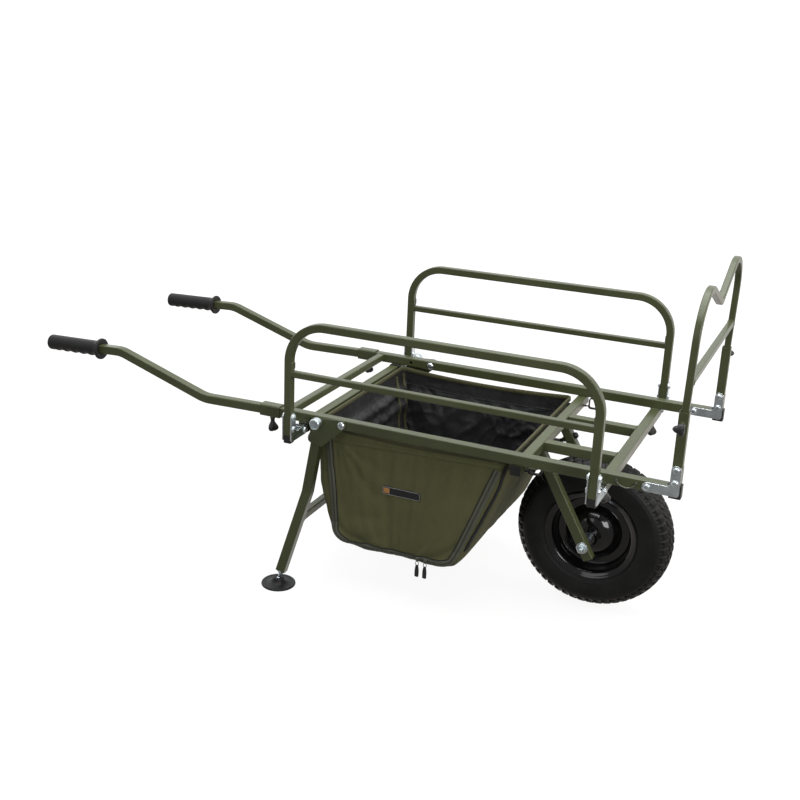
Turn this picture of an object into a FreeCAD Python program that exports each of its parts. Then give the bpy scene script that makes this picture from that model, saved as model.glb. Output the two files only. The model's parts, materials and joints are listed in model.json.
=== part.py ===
"""Field barrow with one wheel, fold-down side gates, a fold-back front gate and a fabric bag.

Millimetres, +Z up, +X towards the wheel, +Y to the pusher's left.
Inside this file x is counted from the wheel axle. save() moves each finished
piece so that the origin lies on the ground under the middle of the cart.
"""
import FreeCAD, Part
import math
import os

V = FreeCAD.Vector

# ---------------------------------------------------------------- driving dimensions
rear_end_x = -1493.0          # rear end of the hand grips
front_end_x = 243.0           # front face of the front posts' end caps
origin_shift = -(rear_end_x + front_end_x) / 2.0

tube = 25.0                   # side of the main square tube
tube_half = tube / 2.0
tube_wall = 1.5
tube_corner = 3.0             # outside corner radius of the square tubes
rail_y = 283.0                # middle of each side rail
rail_top = 481.0
rail_z = rail_top - tube_half
rail_rear_x = -803.0
rail_front_x = 212.0
under_z = rail_top - 1.5 * tube         # middle height of the tubes under the rails
under_low = under_z - tube_half

rear_bar_x = -737.0
rear_bar_size = 20.0
lower_rear_x = -688.0
lower_middle_x = -130.5
lower_front_x = 69.0
cross_half = 296.0
cross_wall = 2.0
wheel_rail_y = 105.0
plug_cap = 2.0                # visible thickness of the push-in end plugs
plug_depth = 14.0
plug_play = 0.4               # how much narrower a plug or spigot is than the tube it enters
spigot_corner = 1.0

tie_loop_x = 124.0            # middle of each wire tie loop
tie_loop_half = 22.0
tie_loop_sag = 13.0
tie_loop_rise = 2.5           # height of its feet over the rail's middle
tie_wire_r = 1.6
tie_foot_r = 4.0
tie_foot_thick = 2.0
tie_pin_r = 2.2
tie_stand = 3.0               # middle of the wire to the outer face of its feet

tyre_r = 200.0
tyre_half_width = 50.0
rim_r = 117.6
rim_half_width = 45.0
axle_z = tyre_r
axle_r = 6.0
axle_nut_across = 19.0
axle_nut_high = 10.0
axle_head_high = 7.0
axle_thread = 22.0            # length of the axle past the fork, on its threaded end
axle_washer_r = 14.5
axle_washer_thick = 3.0
axle_spacer_r = 9.0
axle_spacer_gap = 0.3
hub_half = 58.0
hub_r = 22.0
hub_bore_r = 12.0
bearing_r = 16.0
bearing_width = 10.0
bearing_inner_r = 9.0
bearing_shield_r = 13.5
bearing_recess = 0.8
# radius and distance from the wheel's middle plane, along the outer face of one pressed dish
rim_outer_face = ((hub_r, 40.0), (70.0, 4.5), (76.0, 3.0), (89.0, 3.0), (94.0, 7.0), (98.5, 30.0),
                  (101.0, 38.0), (108.0, 42.0), (113.0, rim_half_width), (rim_r, rim_half_width))
rim_inner_face = ((rim_r, 42.5), (114.0, 42.5), (109.0, 39.5), (104.0, 36.0), (101.0, 29.0), (97.0, 6.0),
                  (93.0, 0.0), (71.0, 0.0), (hub_r, 36.5))
# radius and distance from the middle plane of the points that shape the tyre's section
tyre_shoulder = (176.0, 45.0)
tyre_wall = (150.0, tyre_half_width)
tyre_wall_foot = (119.0, 42.0)
tyre_bead_outer = (110.0, 39.5)
tyre_bead_inner = (105.0, 30.0)
tyre_lining_low = (114.0, 30.0)
tyre_lining_wall = (148.0, tyre_half_width - 9.0)
tyre_lining_top = (170.0, 37.0)
tyre_crown_thick = 10.0
air_ring_r = 150.0            # middle of the air tube's section
air_tube_r = 35.0
air_tube_wall = 2.0
valve_stem_r = 4.0
valve_cap_r = 4.8
valve_top = 128.0             # distances from the axle, outer end first
valve_cap_top = 86.0
valve_low = 74.0
valve_cap_low = 70.0
valve_gap = 0.3               # the stem's foot stops just short of the air tube
fork_tail = 35.0              # length of each fork arm past the axle
fork_overrun = 20.0           # extra length that is trimmed flat under the cross tube
fork_spigot = 85.0            # length of the spigot inside each fork arm
fork_screw_past = 5.0         # how far the fork's screw comes out of the far wall
cap_nut_r = 8.5
cap_nut_high = 10.0
fork_y = wheel_rail_y
fork_top_x = -131.0
fork_knob_drop = 41.0         # how far below the arm's top its thumb screw sits
valve_y = -24.0

gate_y = 368.0                # middle of a side gate's tube
gate_top = 741.0
gate_bottom = 428.0
gate_tube = 20.0
gate_corner_r = 95.0
gate_mid_z = 605.5
gate_mid_size = 16.0
gate_arm_size = 19.0
gate_arm_inner_y = 140.0
gate_pivot_y = 309.0
gate_pivot_z = under_z
gate_knob_y = 247.0
gate_arm_past = 9.0           # length of an arm past its pivot
gate_spigot = 6.0
gate_xs = (lower_rear_x, lower_front_x)

plate_arm = 59.0              # pivot to upright, on every corner plate
plate_rise = 50.0             # pivot height to the top bolt
plate_width = 22.0
plate_thick = 3.0
plate_low_bolt = 20.0
plate_bolt_r = 4.0
plate_soft = 6.0              # outside corner radius
plate_inner = 7.0             # inside corner radius
plate_head_r = 7.5
plate_head_high = 4.5
plate_holes = ((0.0, 0.0), (plate_arm, plate_low_bolt), (plate_arm, plate_rise))

post_x = 228.0
post_size = 22.0
post_top = 650.0
post_bottom = 457.0
cap_height = 20.0
boot_height = 30.0            # the moulded boot on each front post's foot
boot_wall = 1.0
boot_floor = 5.0
front_pivot_x = post_x - plate_arm
front_plate_gap = 0.3
front_bar_size = 15.8
front_bar_low = 540.0
front_bar_crown = 896.0       # centre line height of the raised bar's two round shoulders
front_bar_r = 100.0
front_valley_r = 30.0
front_bar_fall = 22.0         # slope of the shallow V between the shoulders, degrees
front_bar_lean = 1.2          # forward lean of the raised bar, degrees
front_crossbar_z = 715.0
front_knob_z = 623.0

handle_size = 23.0
sleeve_size = 31.0
sleeve_wall = 2.5
sleeve_rear_x = -812.0
sleeve_front_x = -757.0
handle_knob_x = -783.0
handle_points = [(-1488.0, 538.0), (-1250.0, 549.0), (-985.0, 464.5), (-806.0, rail_z)]
handle_radii = [90.0, 110.0]
grip_r = 20.5
grip_flange_r = 29.0
grip_front_x = -1312.0
grip_waves = 5
grip_wave = 1.5
grip_plain = 30.0             # length without finger waves
grip_flange_thick = 11.0
grip_flange_soft = 2.0
sleeve_corner = 5.0
sleeve_overlap = 4.0
sleeve_stop = 2.0             # gap behind the rail's end inside the sleeve

leg_pivot_x = -580.0
leg_pin_x = -641.0
leg_top = 453.0
leg_points = [(-646.0, rail_y, leg_top), (-678.0, rail_y, 266.0), (-737.0, 312.0, 40.0)]
gusset_corners = ((-664.0, 476.0), (-667.0, 409.0), (-634.0, 402.0))
gusset_lobe = (94.0, 20.0, -48.0)       # start, middle and end of the round lobe, degrees
gusset_weld_x = (-660.0, -642.0)
gusset_weld_z = (412.0, 440.0)
gusset_weld_in = 0.8          # how far the weld runs into the leg and into the gusset
leg_plate_gap = 1.0
leg_plate_thick = 3.0
leg_bolt_r = 5.0
leg_pin_r = 4.0
leg_corner = 2.5
leg_over = 20.0               # extra length at the leg's top, trimmed level
leg_cross = 14.0              # extra length at the elbow, mitred off
leg_head_r = 9.5
leg_head_high = 5.5
leg_inner_gap = 0.4
pin_sleeve_r = 8.0
pin_sleeve_long = 7.0
pin_sleeve_gap = 0.3
pin_tip_gap = 0.2             # the pin's tip stops just short of the rail
pin_knob_r = 14.0
pin_knob_neck = 11.0
pin_knob_soft = 2.0
pin_knob_end = 30.0
leg_brace_z = 190.0
leg_brace_size = 20.0
foot_r = 45.0
foot_ball_r = 7.0
foot_ball_z = 14.0
foot_ball_play = 0.1
foot_stud_r = 4.0
foot_seat = ((0.0, 0.0), (13.0, 0.0), (13.0, 2.0), (7.0, 4.0), (7.0, 8.0), (0.0, 8.0))
foot_profile = ((0.0, 0.0), (foot_r, 0.0), (foot_r, 2.5), (foot_r - 5.0, 5.0), (18.0, 10.0), (13.0, 14.0),
                (12.0, 21.0), (0.0, 21.0))
foot_mouth = (5.0, 9.5, 9.0)  # radius at the ball, radius at the top and height of the socket's mouth

bag_top = 449.0
bag_floor = 134.0
# height, (rear x, front x) and half width of the bag, from its floor up to its rim
bag_levels = ((bag_floor, (-602.0, -284.0), 262.0), (160.0, (-622.0, -268.0), 263.0),
              (292.0, (-656.0, -216.0), 264.0), (bag_top, (-666.0, -156.0), 266.0))
bag_wall = 4.0
bag_open_over = 10.0          # the cavity is cut this far past the rim
strap_tab_z = (bag_top - 3.0, bag_top - 1.0)
strap_overlap = 0.5
strap_width = 14.0
strap_thick = 2.0
strap_y = 262.0
strap_gap = 0.4
zip_xs = (-374.0, -353.0)
zip_y = -267.6                # the sliders pass in front of the badge and inside the legs
zip_z = 142.0
slider_size = (10.0, 4.0, 10.0)
pull_loop_r = 4.0
pull_wire_r = 0.9
pull_gap = 0.3                # the loops hang just clear of the sliders
pull_tab = (12.0, 3.6, 34.0)
badge_x = (-478.0, -375.0)
badge_z = (297.0, 320.0)
badge_thick = 1.0
badge_gap = 0.15

knob_r = 15.0                 # reach of a thumb screw's three wings
knob_low = 9.0                # gap from the tube's face to the knob's plastic
knob_high = 42.0
knob_waist = 28.8             # height of its widest section, where the wings are
knob_wing_r = 6.5
knob_body = ((0.0, knob_low), (5.0, knob_low), (6.0, knob_low + 3.0), (9.5, knob_waist - 8.0),
             (11.5, knob_waist), (11.0, knob_waist + 6.0), (7.0, knob_high - 1.5), (0.0, knob_high))
knob_stud_in = 2.0            # depth of the stud in the knob
stud_r = 3.0
stud_in = 2.7                 # a thumb screw stops just short of what it clamps
weld_nut_across = 13.0
weld_nut_high = 7.0
clear = 0.05                  # radial running clearance of every pin in its hole
drill_past = 1.0              # how far a cut runs past the wall it opens

os.makedirs("parts", exist_ok=True)
made = {}


# ---------------------------------------------------------------- helpers
def save(name, shape):
    """Move a finished piece onto the ground origin and write it."""
    moved = shape.copy()
    moved.translate(V(origin_shift, 0, 0))
    moved.exportStep("parts/" + name + ".step")
    made[name] = moved


def group(shapes):
    return Part.makeCompound(shapes)


def mirrored(shape):
    return shape.mirror(V(0, 0, 0), V(0, 1, 0))


def both_sides(shape):
    return group([shape, mirrored(shape)])


def both_sides_of(shapes):
    return group(shapes + [mirrored(shape) for shape in shapes])


def box(x0, x1, y0, y1, z0, z1):
    return Part.makeBox(x1 - x0, y1 - y0, z1 - z0, V(x0, y0, z0))


def kept(shape, front_x=None, top_z=None):
    """The part of a shape behind front_x, or below top_z."""
    reach = shape.BoundBox
    x1 = reach.XMax + 1.0 if front_x is None else front_x
    z1 = reach.ZMax + 1.0 if top_z is None else top_z
    return shape.common(box(reach.XMin - 1.0, x1, reach.YMin - 1.0, reach.YMax + 1.0, reach.ZMin - 1.0, z1))


def rod(radius, start, end):
    """A round bar from start to end."""
    axis = end - start
    return Part.makeCylinder(radius, axis.Length, start, axis)


def rounded_square(size, corner, start, along, side):
    """A closed square outline with round corners, across the direction along."""
    along = V(along).normalize()
    side = (side - along * side.dot(along)).normalize()
    up = along.cross(side)
    half = size / 2.0
    flat = half - corner
    cut = corner * (1.0 - math.sqrt(0.5))
    edges = []
    for turn in range(4):
        a = [side, up, side * -1.0, up * -1.0][turn]
        b = [up, side * -1.0, up * -1.0, side][turn]
        first = start + a * half - b * flat
        last = start + a * half + b * flat
        middle = start + a * (half - cut) + b * (half - cut)
        nxt = start + a * flat + b * half
        edges.append(Part.LineSegment(first, last).toShape())
        edges.append(Part.Arc(last, middle, nxt).toShape())
    return Part.Wire(edges)


def route(points, radii):
    """Straight runs joined by tangent arcs, one radius for each inner point."""
    edges = []
    start = points[0]
    for index in range(1, len(points) - 1):
        corner = points[index]
        back = (points[index - 1] - corner).normalize()
        ahead = (points[index + 1] - corner).normalize()
        radius = radii[index - 1]
        half_turn = (math.pi - back.getAngle(ahead)) / 2.0
        reach = radius * math.tan(half_turn)
        arc_in = corner + back * reach
        arc_out = corner + ahead * reach
        bulge = (back + ahead).normalize()
        middle = corner + bulge * (radius / math.cos(half_turn) - radius)
        edges.append(Part.LineSegment(start, arc_in).toShape())
        edges.append(Part.Arc(arc_in, middle, arc_out).toShape())
        start = arc_out
    edges.append(Part.LineSegment(start, points[-1]).toShape())
    return Part.Wire(edges)


def swept(spine, section, plane_normal):
    shell = Part.BRepOffsetAPI.MakePipeShell(spine)
    shell.setBiNormalMode(plane_normal)
    shell.add(section)
    shell.build()
    shell.makeSolid()
    return shell.shape()


def bent_tube(points, radii, size, wall, plane_normal):
    """A hollow square tube that follows a flat bent route."""
    spine = route(points, radii)
    along = points[1] - points[0]
    outer = rounded_square(size, tube_corner, points[0], along, plane_normal)
    inner = rounded_square(size - 2 * wall, tube_corner - wall, points[0], along, plane_normal)
    return swept(spine, outer, plane_normal).cut(swept(spine, inner, plane_normal))


def straight_solid(size, corner, start, end, side):
    outline = rounded_square(size, corner, start, end - start, side)
    return Part.Face(outline).extrude(end - start)


def straight_tube(size, wall, start, end, side=V(0, 0, 1)):
    outer = straight_solid(size, tube_corner, start, end, side)
    inner = straight_solid(size - 2 * wall, tube_corner - wall, start, end, side)
    return outer.cut(inner)


def revolved(profile, base, axis):
    """Turn a closed list of (radius, length) points about an axis."""
    points = [V(r, 0, h) for r, h in profile]
    face = Part.Face(Part.makePolygon(points + [points[0]]))
    body = face.revolve(V(0, 0, 0), V(0, 0, 1), 360)
    turn = FreeCAD.Rotation(V(0, 0, 1), axis)
    body.Placement = FreeCAD.Placement(base, turn)
    return body


def hexagon(across, height, base, axis):
    radius = across / math.sqrt(3.0)
    points = [V(radius * math.cos(math.pi * n / 3), radius * math.sin(math.pi * n / 3), 0) for n in range(7)]
    body = Part.Face(Part.makePolygon(points)).extrude(V(0, 0, height))
    body.Placement = FreeCAD.Placement(base, FreeCAD.Rotation(V(0, 0, 1), axis))
    return body


def bolt(start, end, shank_r, head_r, head_h):
    """A pin with a low domed head at each end; start and end are the outer plate faces."""
    axis = (end - start).normalize()
    dome = [(0, 0), (head_r, 0), (head_r, head_h * 0.4), (head_r * 0.7, head_h * 0.85), (0, head_h)]
    low = revolved(dome, start, axis * -1.0)
    high = revolved(dome, end, axis)
    return rod(shank_r, start, end).fuse([low, high])


def placed(shape, base, axis):
    shape.Placement = FreeCAD.Placement(base, FreeCAD.Rotation(V(0, 0, 1), axis))
    return shape


def thumb_screw(face, outward, reach=stud_in):
    """A three-winged plastic knob on a steel stud; face is the tube's outer face."""
    body = revolved(knob_body, V(0, 0, 0), V(0, 0, 1))
    offset = knob_r - knob_wing_r
    for turn in range(3):
        angle = math.radians(90 + 120 * turn)
        centre = V(offset * math.cos(angle), offset * math.sin(angle), knob_waist)
        body = body.fuse(Part.makeSphere(knob_wing_r, centre))
    stud = Part.makeCylinder(stud_r, reach + knob_low + knob_stud_in, V(0, 0, -reach))
    return placed(body.fuse(stud).removeSplitter(), face, outward)


def weld_nut(face, outward):
    """A nut welded on a tube's face, for a thumb screw."""
    nut = hexagon(weld_nut_across, weld_nut_high, face, outward)
    past = outward * drill_past
    return nut.cut(rod(stud_r + clear, face - past, face + outward * weld_nut_high + past))


def with_nut(body, face, outward, wall):
    """Drill one wall of a tube for a thumb screw and weld the nut over the hole."""
    hole = rod(stud_r + clear, face + outward * drill_past, face - outward * (wall + drill_past))
    return body.cut(hole).fuse(weld_nut(face, outward))


# ---------------------------------------------------------------- bed frame
def side_rail():
    rail = straight_tube(tube, tube_wall, V(rail_rear_x, rail_y, rail_z), V(rail_front_x, rail_y, rail_z))
    for x, radius in ((leg_pivot_x, leg_bolt_r), (leg_pin_x, leg_pin_r), (front_pivot_x, plate_bolt_r)):
        rail = rail.cut(rod(radius + clear, V(x, rail_y - tube, rail_z), V(x, rail_y + tube, rail_z)))
    return rail


def rear_cross_bar():
    half = rail_y - tube_half
    z = rail_top - rear_bar_size / 2.0
    return straight_tube(rear_bar_size, tube_wall, V(rear_bar_x, -half, z), V(rear_bar_x, half, z))


def lower_cross_tube(x):
    """A cross tube under the rails that takes a gate arm in each end."""
    member = straight_tube(tube, cross_wall, V(x, -cross_half, under_z), V(x, cross_half, under_z))
    for side in (-1, 1):
        member = with_nut(member, V(x, side * gate_knob_y, under_low), V(0, 0, -1), cross_wall)
    return member


def fork_line():
    """The fork arm's axle point, its top point and the unit direction up the arm."""
    low = V(0, fork_y, axle_z)
    high = V(fork_top_x, fork_y, under_low)
    return low, high, (high - low).normalize()


def fork_screw():
    """Where the fork's thumb screw crosses the arm, and the direction towards its knob."""
    low, high, up = fork_line()
    return high - up * fork_knob_drop, V(0, 1, 0).cross(up) * -1.0


def lower_cross_tube_middle():
    """The cross tube that carries the fork: a solid spigot under it enters each fork arm."""
    right_end = V(lower_middle_x, -cross_half, under_z)
    left_end = V(lower_middle_x, cross_half, under_z)
    member = straight_tube(tube, tube_wall, right_end, left_end)
    low, high, up = fork_line()
    size = tube - 2 * tube_wall - 2 * plug_play
    spigot = straight_solid(size, spigot_corner, high - up * fork_spigot, high + up * fork_overrun, V(0, 1, 0))
    spigot = kept(spigot, top_z=under_low)
    at, rearward = fork_screw()
    spigot = spigot.cut(rod(stud_r + clear, at - rearward * tube, at + rearward * tube))
    return member.fuse([spigot, mirrored(spigot)])


def wheel_rail():
    start = V(lower_middle_x + tube_half, wheel_rail_y, under_z)
    end = V(lower_front_x - tube_half, wheel_rail_y, under_z)
    return straight_tube(tube, tube_wall, start, end)


def end_plug(face, outward, side, size, wall):
    """A moulded plug pushed into an open tube end."""
    cap = straight_solid(size, tube_corner, face, face + outward * plug_cap, side)
    inside = size - 2 * wall - plug_play
    plug = straight_solid(inside, spigot_corner, face - outward * plug_depth, face, side)
    return cap.fuse(plug)


def end_caps():
    """Plugs in the rails' front ends and the middle cross tube, and the covers of the fork's screws."""
    up = V(0, 0, 1)
    rail_plug = end_plug(V(rail_front_x, rail_y, rail_z), V(1, 0, 0), up, tube, tube_wall)
    cross_plug = end_plug(V(lower_middle_x, cross_half, under_z), V(0, 1, 0), up, tube, tube_wall)
    return both_sides_of([rail_plug, cross_plug, fork_cap_nut()])


def tie_loop():
    """A bent wire eye on a side rail's outer face, with a flat round foot at each end."""
    face_y = rail_y + tube_half
    y = face_y + tie_foot_thick + tie_stand
    z = rail_z + tie_loop_rise
    rear, front = [V(tie_loop_x + side * tie_loop_half, y, z) for side in (-1, 1)]
    arc = Part.Arc(rear, V(tie_loop_x, y, z - tie_loop_sag), front).toShape()
    section = Part.Wire([Part.Circle(rear, arc.tangentAt(arc.FirstParameter), tie_wire_r).toShape()])
    wire = Part.Wire([arc]).makePipeShell([section], True, False)
    feet = []
    for end in (rear, front):
        on_rail = V(end.x, face_y, z)
        feet.append(rod(tie_foot_r, on_rail, on_rail + V(0, tie_foot_thick, 0)))
        feet.append(rod(tie_pin_r, on_rail, end + V(0, tie_wire_r, 0)))
    return wire.fuse(feet)


# ---------------------------------------------------------------- fork, axle and wheel
def fork_arm():
    low, high, up = fork_line()
    arm = straight_tube(tube, tube_wall, low - up * fork_tail, high + up * fork_overrun, V(0, 1, 0))
    arm = kept(arm, top_z=under_low)
    arm = arm.cut(rod(axle_r + clear, low - V(0, tube, 0), low + V(0, tube, 0)))
    at, rearward = fork_screw()
    arm = arm.cut(rod(stud_r + clear, at - rearward * tube, at + rearward * tube))
    return arm.fuse(weld_nut(at + rearward * tube_half, rearward))


def fork_knob():
    at, rearward = fork_screw()
    return thumb_screw(at + rearward * tube_half, rearward, tube + fork_screw_past)


def fork_cap_nut():
    """The domed nut on the far end of the fork's screw."""
    at, rearward = fork_screw()
    bore = stud_r + clear
    deep = fork_screw_past + drill_past
    outline = [(bore, 0), (cap_nut_r, 0), (cap_nut_r, deep - drill_past), (cap_nut_r - 2.0, cap_nut_high - 1.0),
               (0, cap_nut_high), (0, deep), (bore, deep)]
    return revolved(outline, at - rearward * tube_half, rearward * -1.0)


def axle():
    """A headed bolt through both arms; its threaded end points to -Y."""
    outer = fork_y + tube_half
    under_head = V(0, outer + axle_washer_thick, axle_z)
    shank = rod(axle_r, V(0, -outer - axle_thread, axle_z), under_head)
    return shank.fuse(hexagon(axle_nut_across, axle_head_high, under_head, V(0, 1, 0)))


def axle_ring(outer_r, y, direction, length):
    bore = axle_r + clear
    ring = [(bore, 0), (outer_r, 0), (outer_r, length), (bore, length)]
    return revolved(ring, V(0, y, axle_z), V(0, direction, 0))


def axle_fittings():
    """The nut, a washer on each arm and a spacer tube on each side of the hub."""
    outer = fork_y + tube_half
    nut = hexagon(axle_nut_across, axle_nut_high, V(0, -outer - axle_washer_thick, axle_z), V(0, -1, 0))
    nut = nut.cut(rod(axle_r + clear, V(0, -outer, axle_z), V(0, -outer - axle_thread, axle_z)))
    spacer_start = hub_half + axle_spacer_gap
    spacer_length = fork_y - tube_half - spacer_start
    pieces = [nut]
    for side in (-1, 1):
        pieces.append(axle_ring(axle_washer_r, side * outer, side, axle_washer_thick))
        pieces.append(axle_ring(axle_spacer_r, side * spacer_start, side, spacer_length))
    return group(pieces)


def wheel_bearing():
    """A sealed ball bearing shown as one ring with recessed shields."""
    bore = axle_r + clear
    low = bearing_recess
    high = bearing_width - bearing_recess
    near = [(bore, 0), (bearing_inner_r, 0), (bearing_inner_r, low), (bearing_shield_r, low),
            (bearing_shield_r, 0), (bearing_r, 0)]
    far = [(bearing_r, bearing_width), (bearing_shield_r, bearing_width), (bearing_shield_r, high),
           (bearing_inner_r, high), (bearing_inner_r, bearing_width), (bore, bearing_width)]
    return revolved(near + far, V(0, hub_half - bearing_width, axle_z), V(0, 1, 0))


def hub():
    """The hub tube with a bearing seat in each end."""
    seat = hub_half - bearing_width
    outline = [(hub_bore_r, -seat), (bearing_r, -seat), (bearing_r, -hub_half), (hub_r, -hub_half),
               (hub_r, hub_half), (bearing_r, hub_half), (bearing_r, seat), (hub_bore_r, seat)]
    return revolved(outline, V(0, 0, axle_z), V(0, 1, 0))


def rim():
    """Two pressed dishes joined at the middle: cone, flat ring, barrel, bead seat and flange."""
    middle = V(0, 0, axle_z)
    dish = revolved(rim_outer_face + rim_inner_face, middle, V(0, 1, 0))
    both = dish.fuse(dish.mirror(middle, V(0, 1, 0))).removeSplitter()
    hole_low = V(0, valve_y, axle_z + valve_low)
    return both.cut(rod(valve_stem_r + clear, hole_low, hole_low + V(0, 0, rim_r - valve_low)))


def tyre():
    """A hollow tyre: a round crown, bulged walls and two beads seated on the rim."""

    def high(point):
        return V(point[0], 0, point[1])

    def low(point):
        return V(point[0], 0, -point[1])

    crown = V(tyre_r, 0, 0)
    lining_crown = V(tyre_r - tyre_crown_thick, 0, 0)
    outer = [Part.LineSegment(high(tyre_bead_outer), high(tyre_wall_foot)),
             Part.Arc(high(tyre_wall_foot), high(tyre_wall), high(tyre_shoulder)),
             Part.Arc(high(tyre_shoulder), crown, low(tyre_shoulder)),
             Part.Arc(low(tyre_shoulder), low(tyre_wall), low(tyre_wall_foot)),
             Part.LineSegment(low(tyre_wall_foot), low(tyre_bead_outer))]
    inner = [Part.LineSegment(low(tyre_bead_outer), low(tyre_bead_inner)),
             Part.LineSegment(low(tyre_bead_inner), low(tyre_lining_low)),
             Part.Arc(low(tyre_lining_low), low(tyre_lining_wall), low(tyre_lining_top)),
             Part.Arc(low(tyre_lining_top), lining_crown, high(tyre_lining_top)),
             Part.Arc(high(tyre_lining_top), high(tyre_lining_wall), high(tyre_lining_low)),
             Part.LineSegment(high(tyre_lining_low), high(tyre_bead_inner)),
             Part.LineSegment(high(tyre_bead_inner), high(tyre_bead_outer))]
    face = Part.Face(Part.Wire([edge.toShape() for edge in outer + inner]))
    body = face.revolve(V(0, 0, 0), V(0, 0, 1), 360)
    return placed(body, V(0, 0, axle_z), V(0, 1, 0))


def air_ring(radius):
    return placed(Part.makeTorus(air_ring_r, radius), V(0, 0, axle_z), V(0, 1, 0))


def inner_tube():
    """The air tube inside the tyre."""
    return air_ring(air_tube_r).cut(air_ring(air_tube_r - air_tube_wall))


def valve():
    """The valve stem, from the air tube through the rim, with its dust cap."""

    def upright(radius, top, bottom):
        return rod(radius, V(0, valve_y, axle_z + top), V(0, valve_y, axle_z + bottom))

    stem = upright(valve_stem_r, valve_top, valve_low)
    cap = upright(valve_cap_r, valve_cap_top, valve_cap_low)
    return stem.fuse(cap).cut(air_ring(air_tube_r + valve_gap))


# ---------------------------------------------------------------- corner plates
def corner_plate(origin, along, thick):
    """An L plate: its pivot at origin, its foot running along to the upright, its leg going up."""
    along = V(along)
    up = V(0, 0, 1)
    half = plate_width / 2.0

    def at(u, v):
        return origin + along * u + up * v

    low = -half
    outer = plate_arm + half
    inside = plate_arm - half
    sag = 1.0 - math.sqrt(0.5)
    soft = plate_soft
    inner = plate_inner
    inner_high = at(inside, half + inner)
    inner_low = at(inside - inner, half)
    edges = [
        Part.LineSegment(at(0, low), at(outer - soft, low)),
        Part.Arc(at(outer - soft, low), at(outer - soft * sag, low + soft * sag), at(outer, low + soft)),
        Part.LineSegment(at(outer, low + soft), at(outer, plate_rise)),
        Part.Arc(at(outer, plate_rise), at(plate_arm, plate_rise + half), at(inside, plate_rise)),
        Part.LineSegment(at(inside, plate_rise), inner_high),
        Part.Arc(inner_high, at(inside - inner * sag, half + inner * sag), inner_low),
        Part.LineSegment(inner_low, at(0, half)),
        Part.Arc(at(0, half), at(-half, 0), at(0, low)),
    ]
    face = Part.Face(Part.Wire([edge.toShape() for edge in edges]))
    plate = face.extrude(thick)
    for u, v in plate_holes:
        centre = at(u, v)
        plate = plate.cut(rod(plate_bolt_r, centre - thick, centre + thick * 2.0))
    return plate


def plate_bolts(origin, along, across, half_grip):
    """The pivot bolt and the two fixing bolts of a pair of corner plates."""
    made_bolts = []
    for u, v in plate_holes:
        centre = origin + V(along) * u + V(0, 0, v)
        low = centre - across * half_grip
        high = centre + across * half_grip
        made_bolts.append(bolt(low, high, plate_bolt_r, plate_head_r, plate_head_high))
    return made_bolts


# ---------------------------------------------------------------- side gates
def gate_frame():
    """The bent hoop of a side gate with its middle bar welded in."""
    top = gate_top - gate_tube / 2.0
    foot = gate_bottom + cap_height
    points = [V(lower_rear_x, gate_y, foot), V(lower_rear_x, gate_y, top), V(lower_front_x, gate_y, top),
              V(lower_front_x, gate_y, foot)]
    hoop = bent_tube(points, [gate_corner_r, gate_corner_r], gate_tube, tube_wall, V(0, 1, 0))
    for x in gate_xs:
        for rise in (plate_low_bolt, plate_rise):
            centre = V(x, gate_y, gate_pivot_z + rise)
            hoop = hoop.cut(rod(plate_bolt_r, centre - V(tube, 0, 0), centre + V(tube, 0, 0)))
    start = V(lower_rear_x + gate_tube / 2, gate_y, gate_mid_z)
    end = V(lower_front_x - gate_tube / 2, gate_y, gate_mid_z)
    return hoop.fuse(straight_tube(gate_mid_size, tube_wall, start, end))


def gate_caps():
    """A moulded cap with a spigot in each lower end of a gate's hoop."""
    caps = []
    for x in gate_xs:
        low = V(x, gate_y, gate_bottom)
        seat = low + V(0, 0, cap_height)
        foot = straight_solid(gate_tube, tube_corner, low, seat, V(1, 0, 0))
        inside = gate_tube - 2 * tube_wall - plug_play
        spigot = straight_solid(inside, spigot_corner, seat, seat + V(0, 0, gate_spigot), V(1, 0, 0))
        caps.append(foot.fuse(spigot))
    return group(caps)


def gate_brackets():
    """The corner plates of a side gate with their bolts."""
    pieces = []
    for x in gate_xs:
        pivot = V(x, gate_pivot_y, gate_pivot_z)
        for side in (-1, 1):
            face = pivot + V(side * gate_tube / 2, 0, 0)
            pieces.append(corner_plate(face, V(0, 1, 0), V(side * plate_thick, 0, 0)))
        pieces.extend(plate_bolts(pivot, V(0, 1, 0), V(1, 0, 0), gate_tube / 2 + plate_thick))
    return group(pieces)


def gate_arms():
    """The two sliding bars that carry a gate, one in each lower cross tube."""
    arms = []
    for x in gate_xs:
        pivot = V(x, gate_pivot_y, gate_pivot_z)
        inner_end = V(x, gate_arm_inner_y, gate_pivot_z)
        arm = straight_tube(gate_arm_size, tube_wall, inner_end, pivot + V(0, gate_arm_past, 0))
        arms.append(arm.cut(rod(plate_bolt_r + clear, pivot - V(tube, 0, 0), pivot + V(tube, 0, 0))))
    return group(arms)


def gate_knob(x):
    return thumb_screw(V(x, gate_knob_y, under_low), V(0, 0, -1))


# ---------------------------------------------------------------- front gate
def front_post():
    foot = V(post_x, rail_y, post_bottom)
    post = straight_tube(post_size, tube_wall, foot, V(post_x, rail_y, post_top), V(0, 1, 0))
    for rise in (plate_low_bolt, plate_rise):
        centre = V(post_x, rail_y, rail_z + rise)
        post = post.cut(rod(plate_bolt_r, centre - V(0, tube, 0), centre + V(0, tube, 0)))
    return with_nut(post, V(post_x, rail_y + post_size / 2.0, front_knob_z), V(0, 1, 0), tube_wall)


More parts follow.
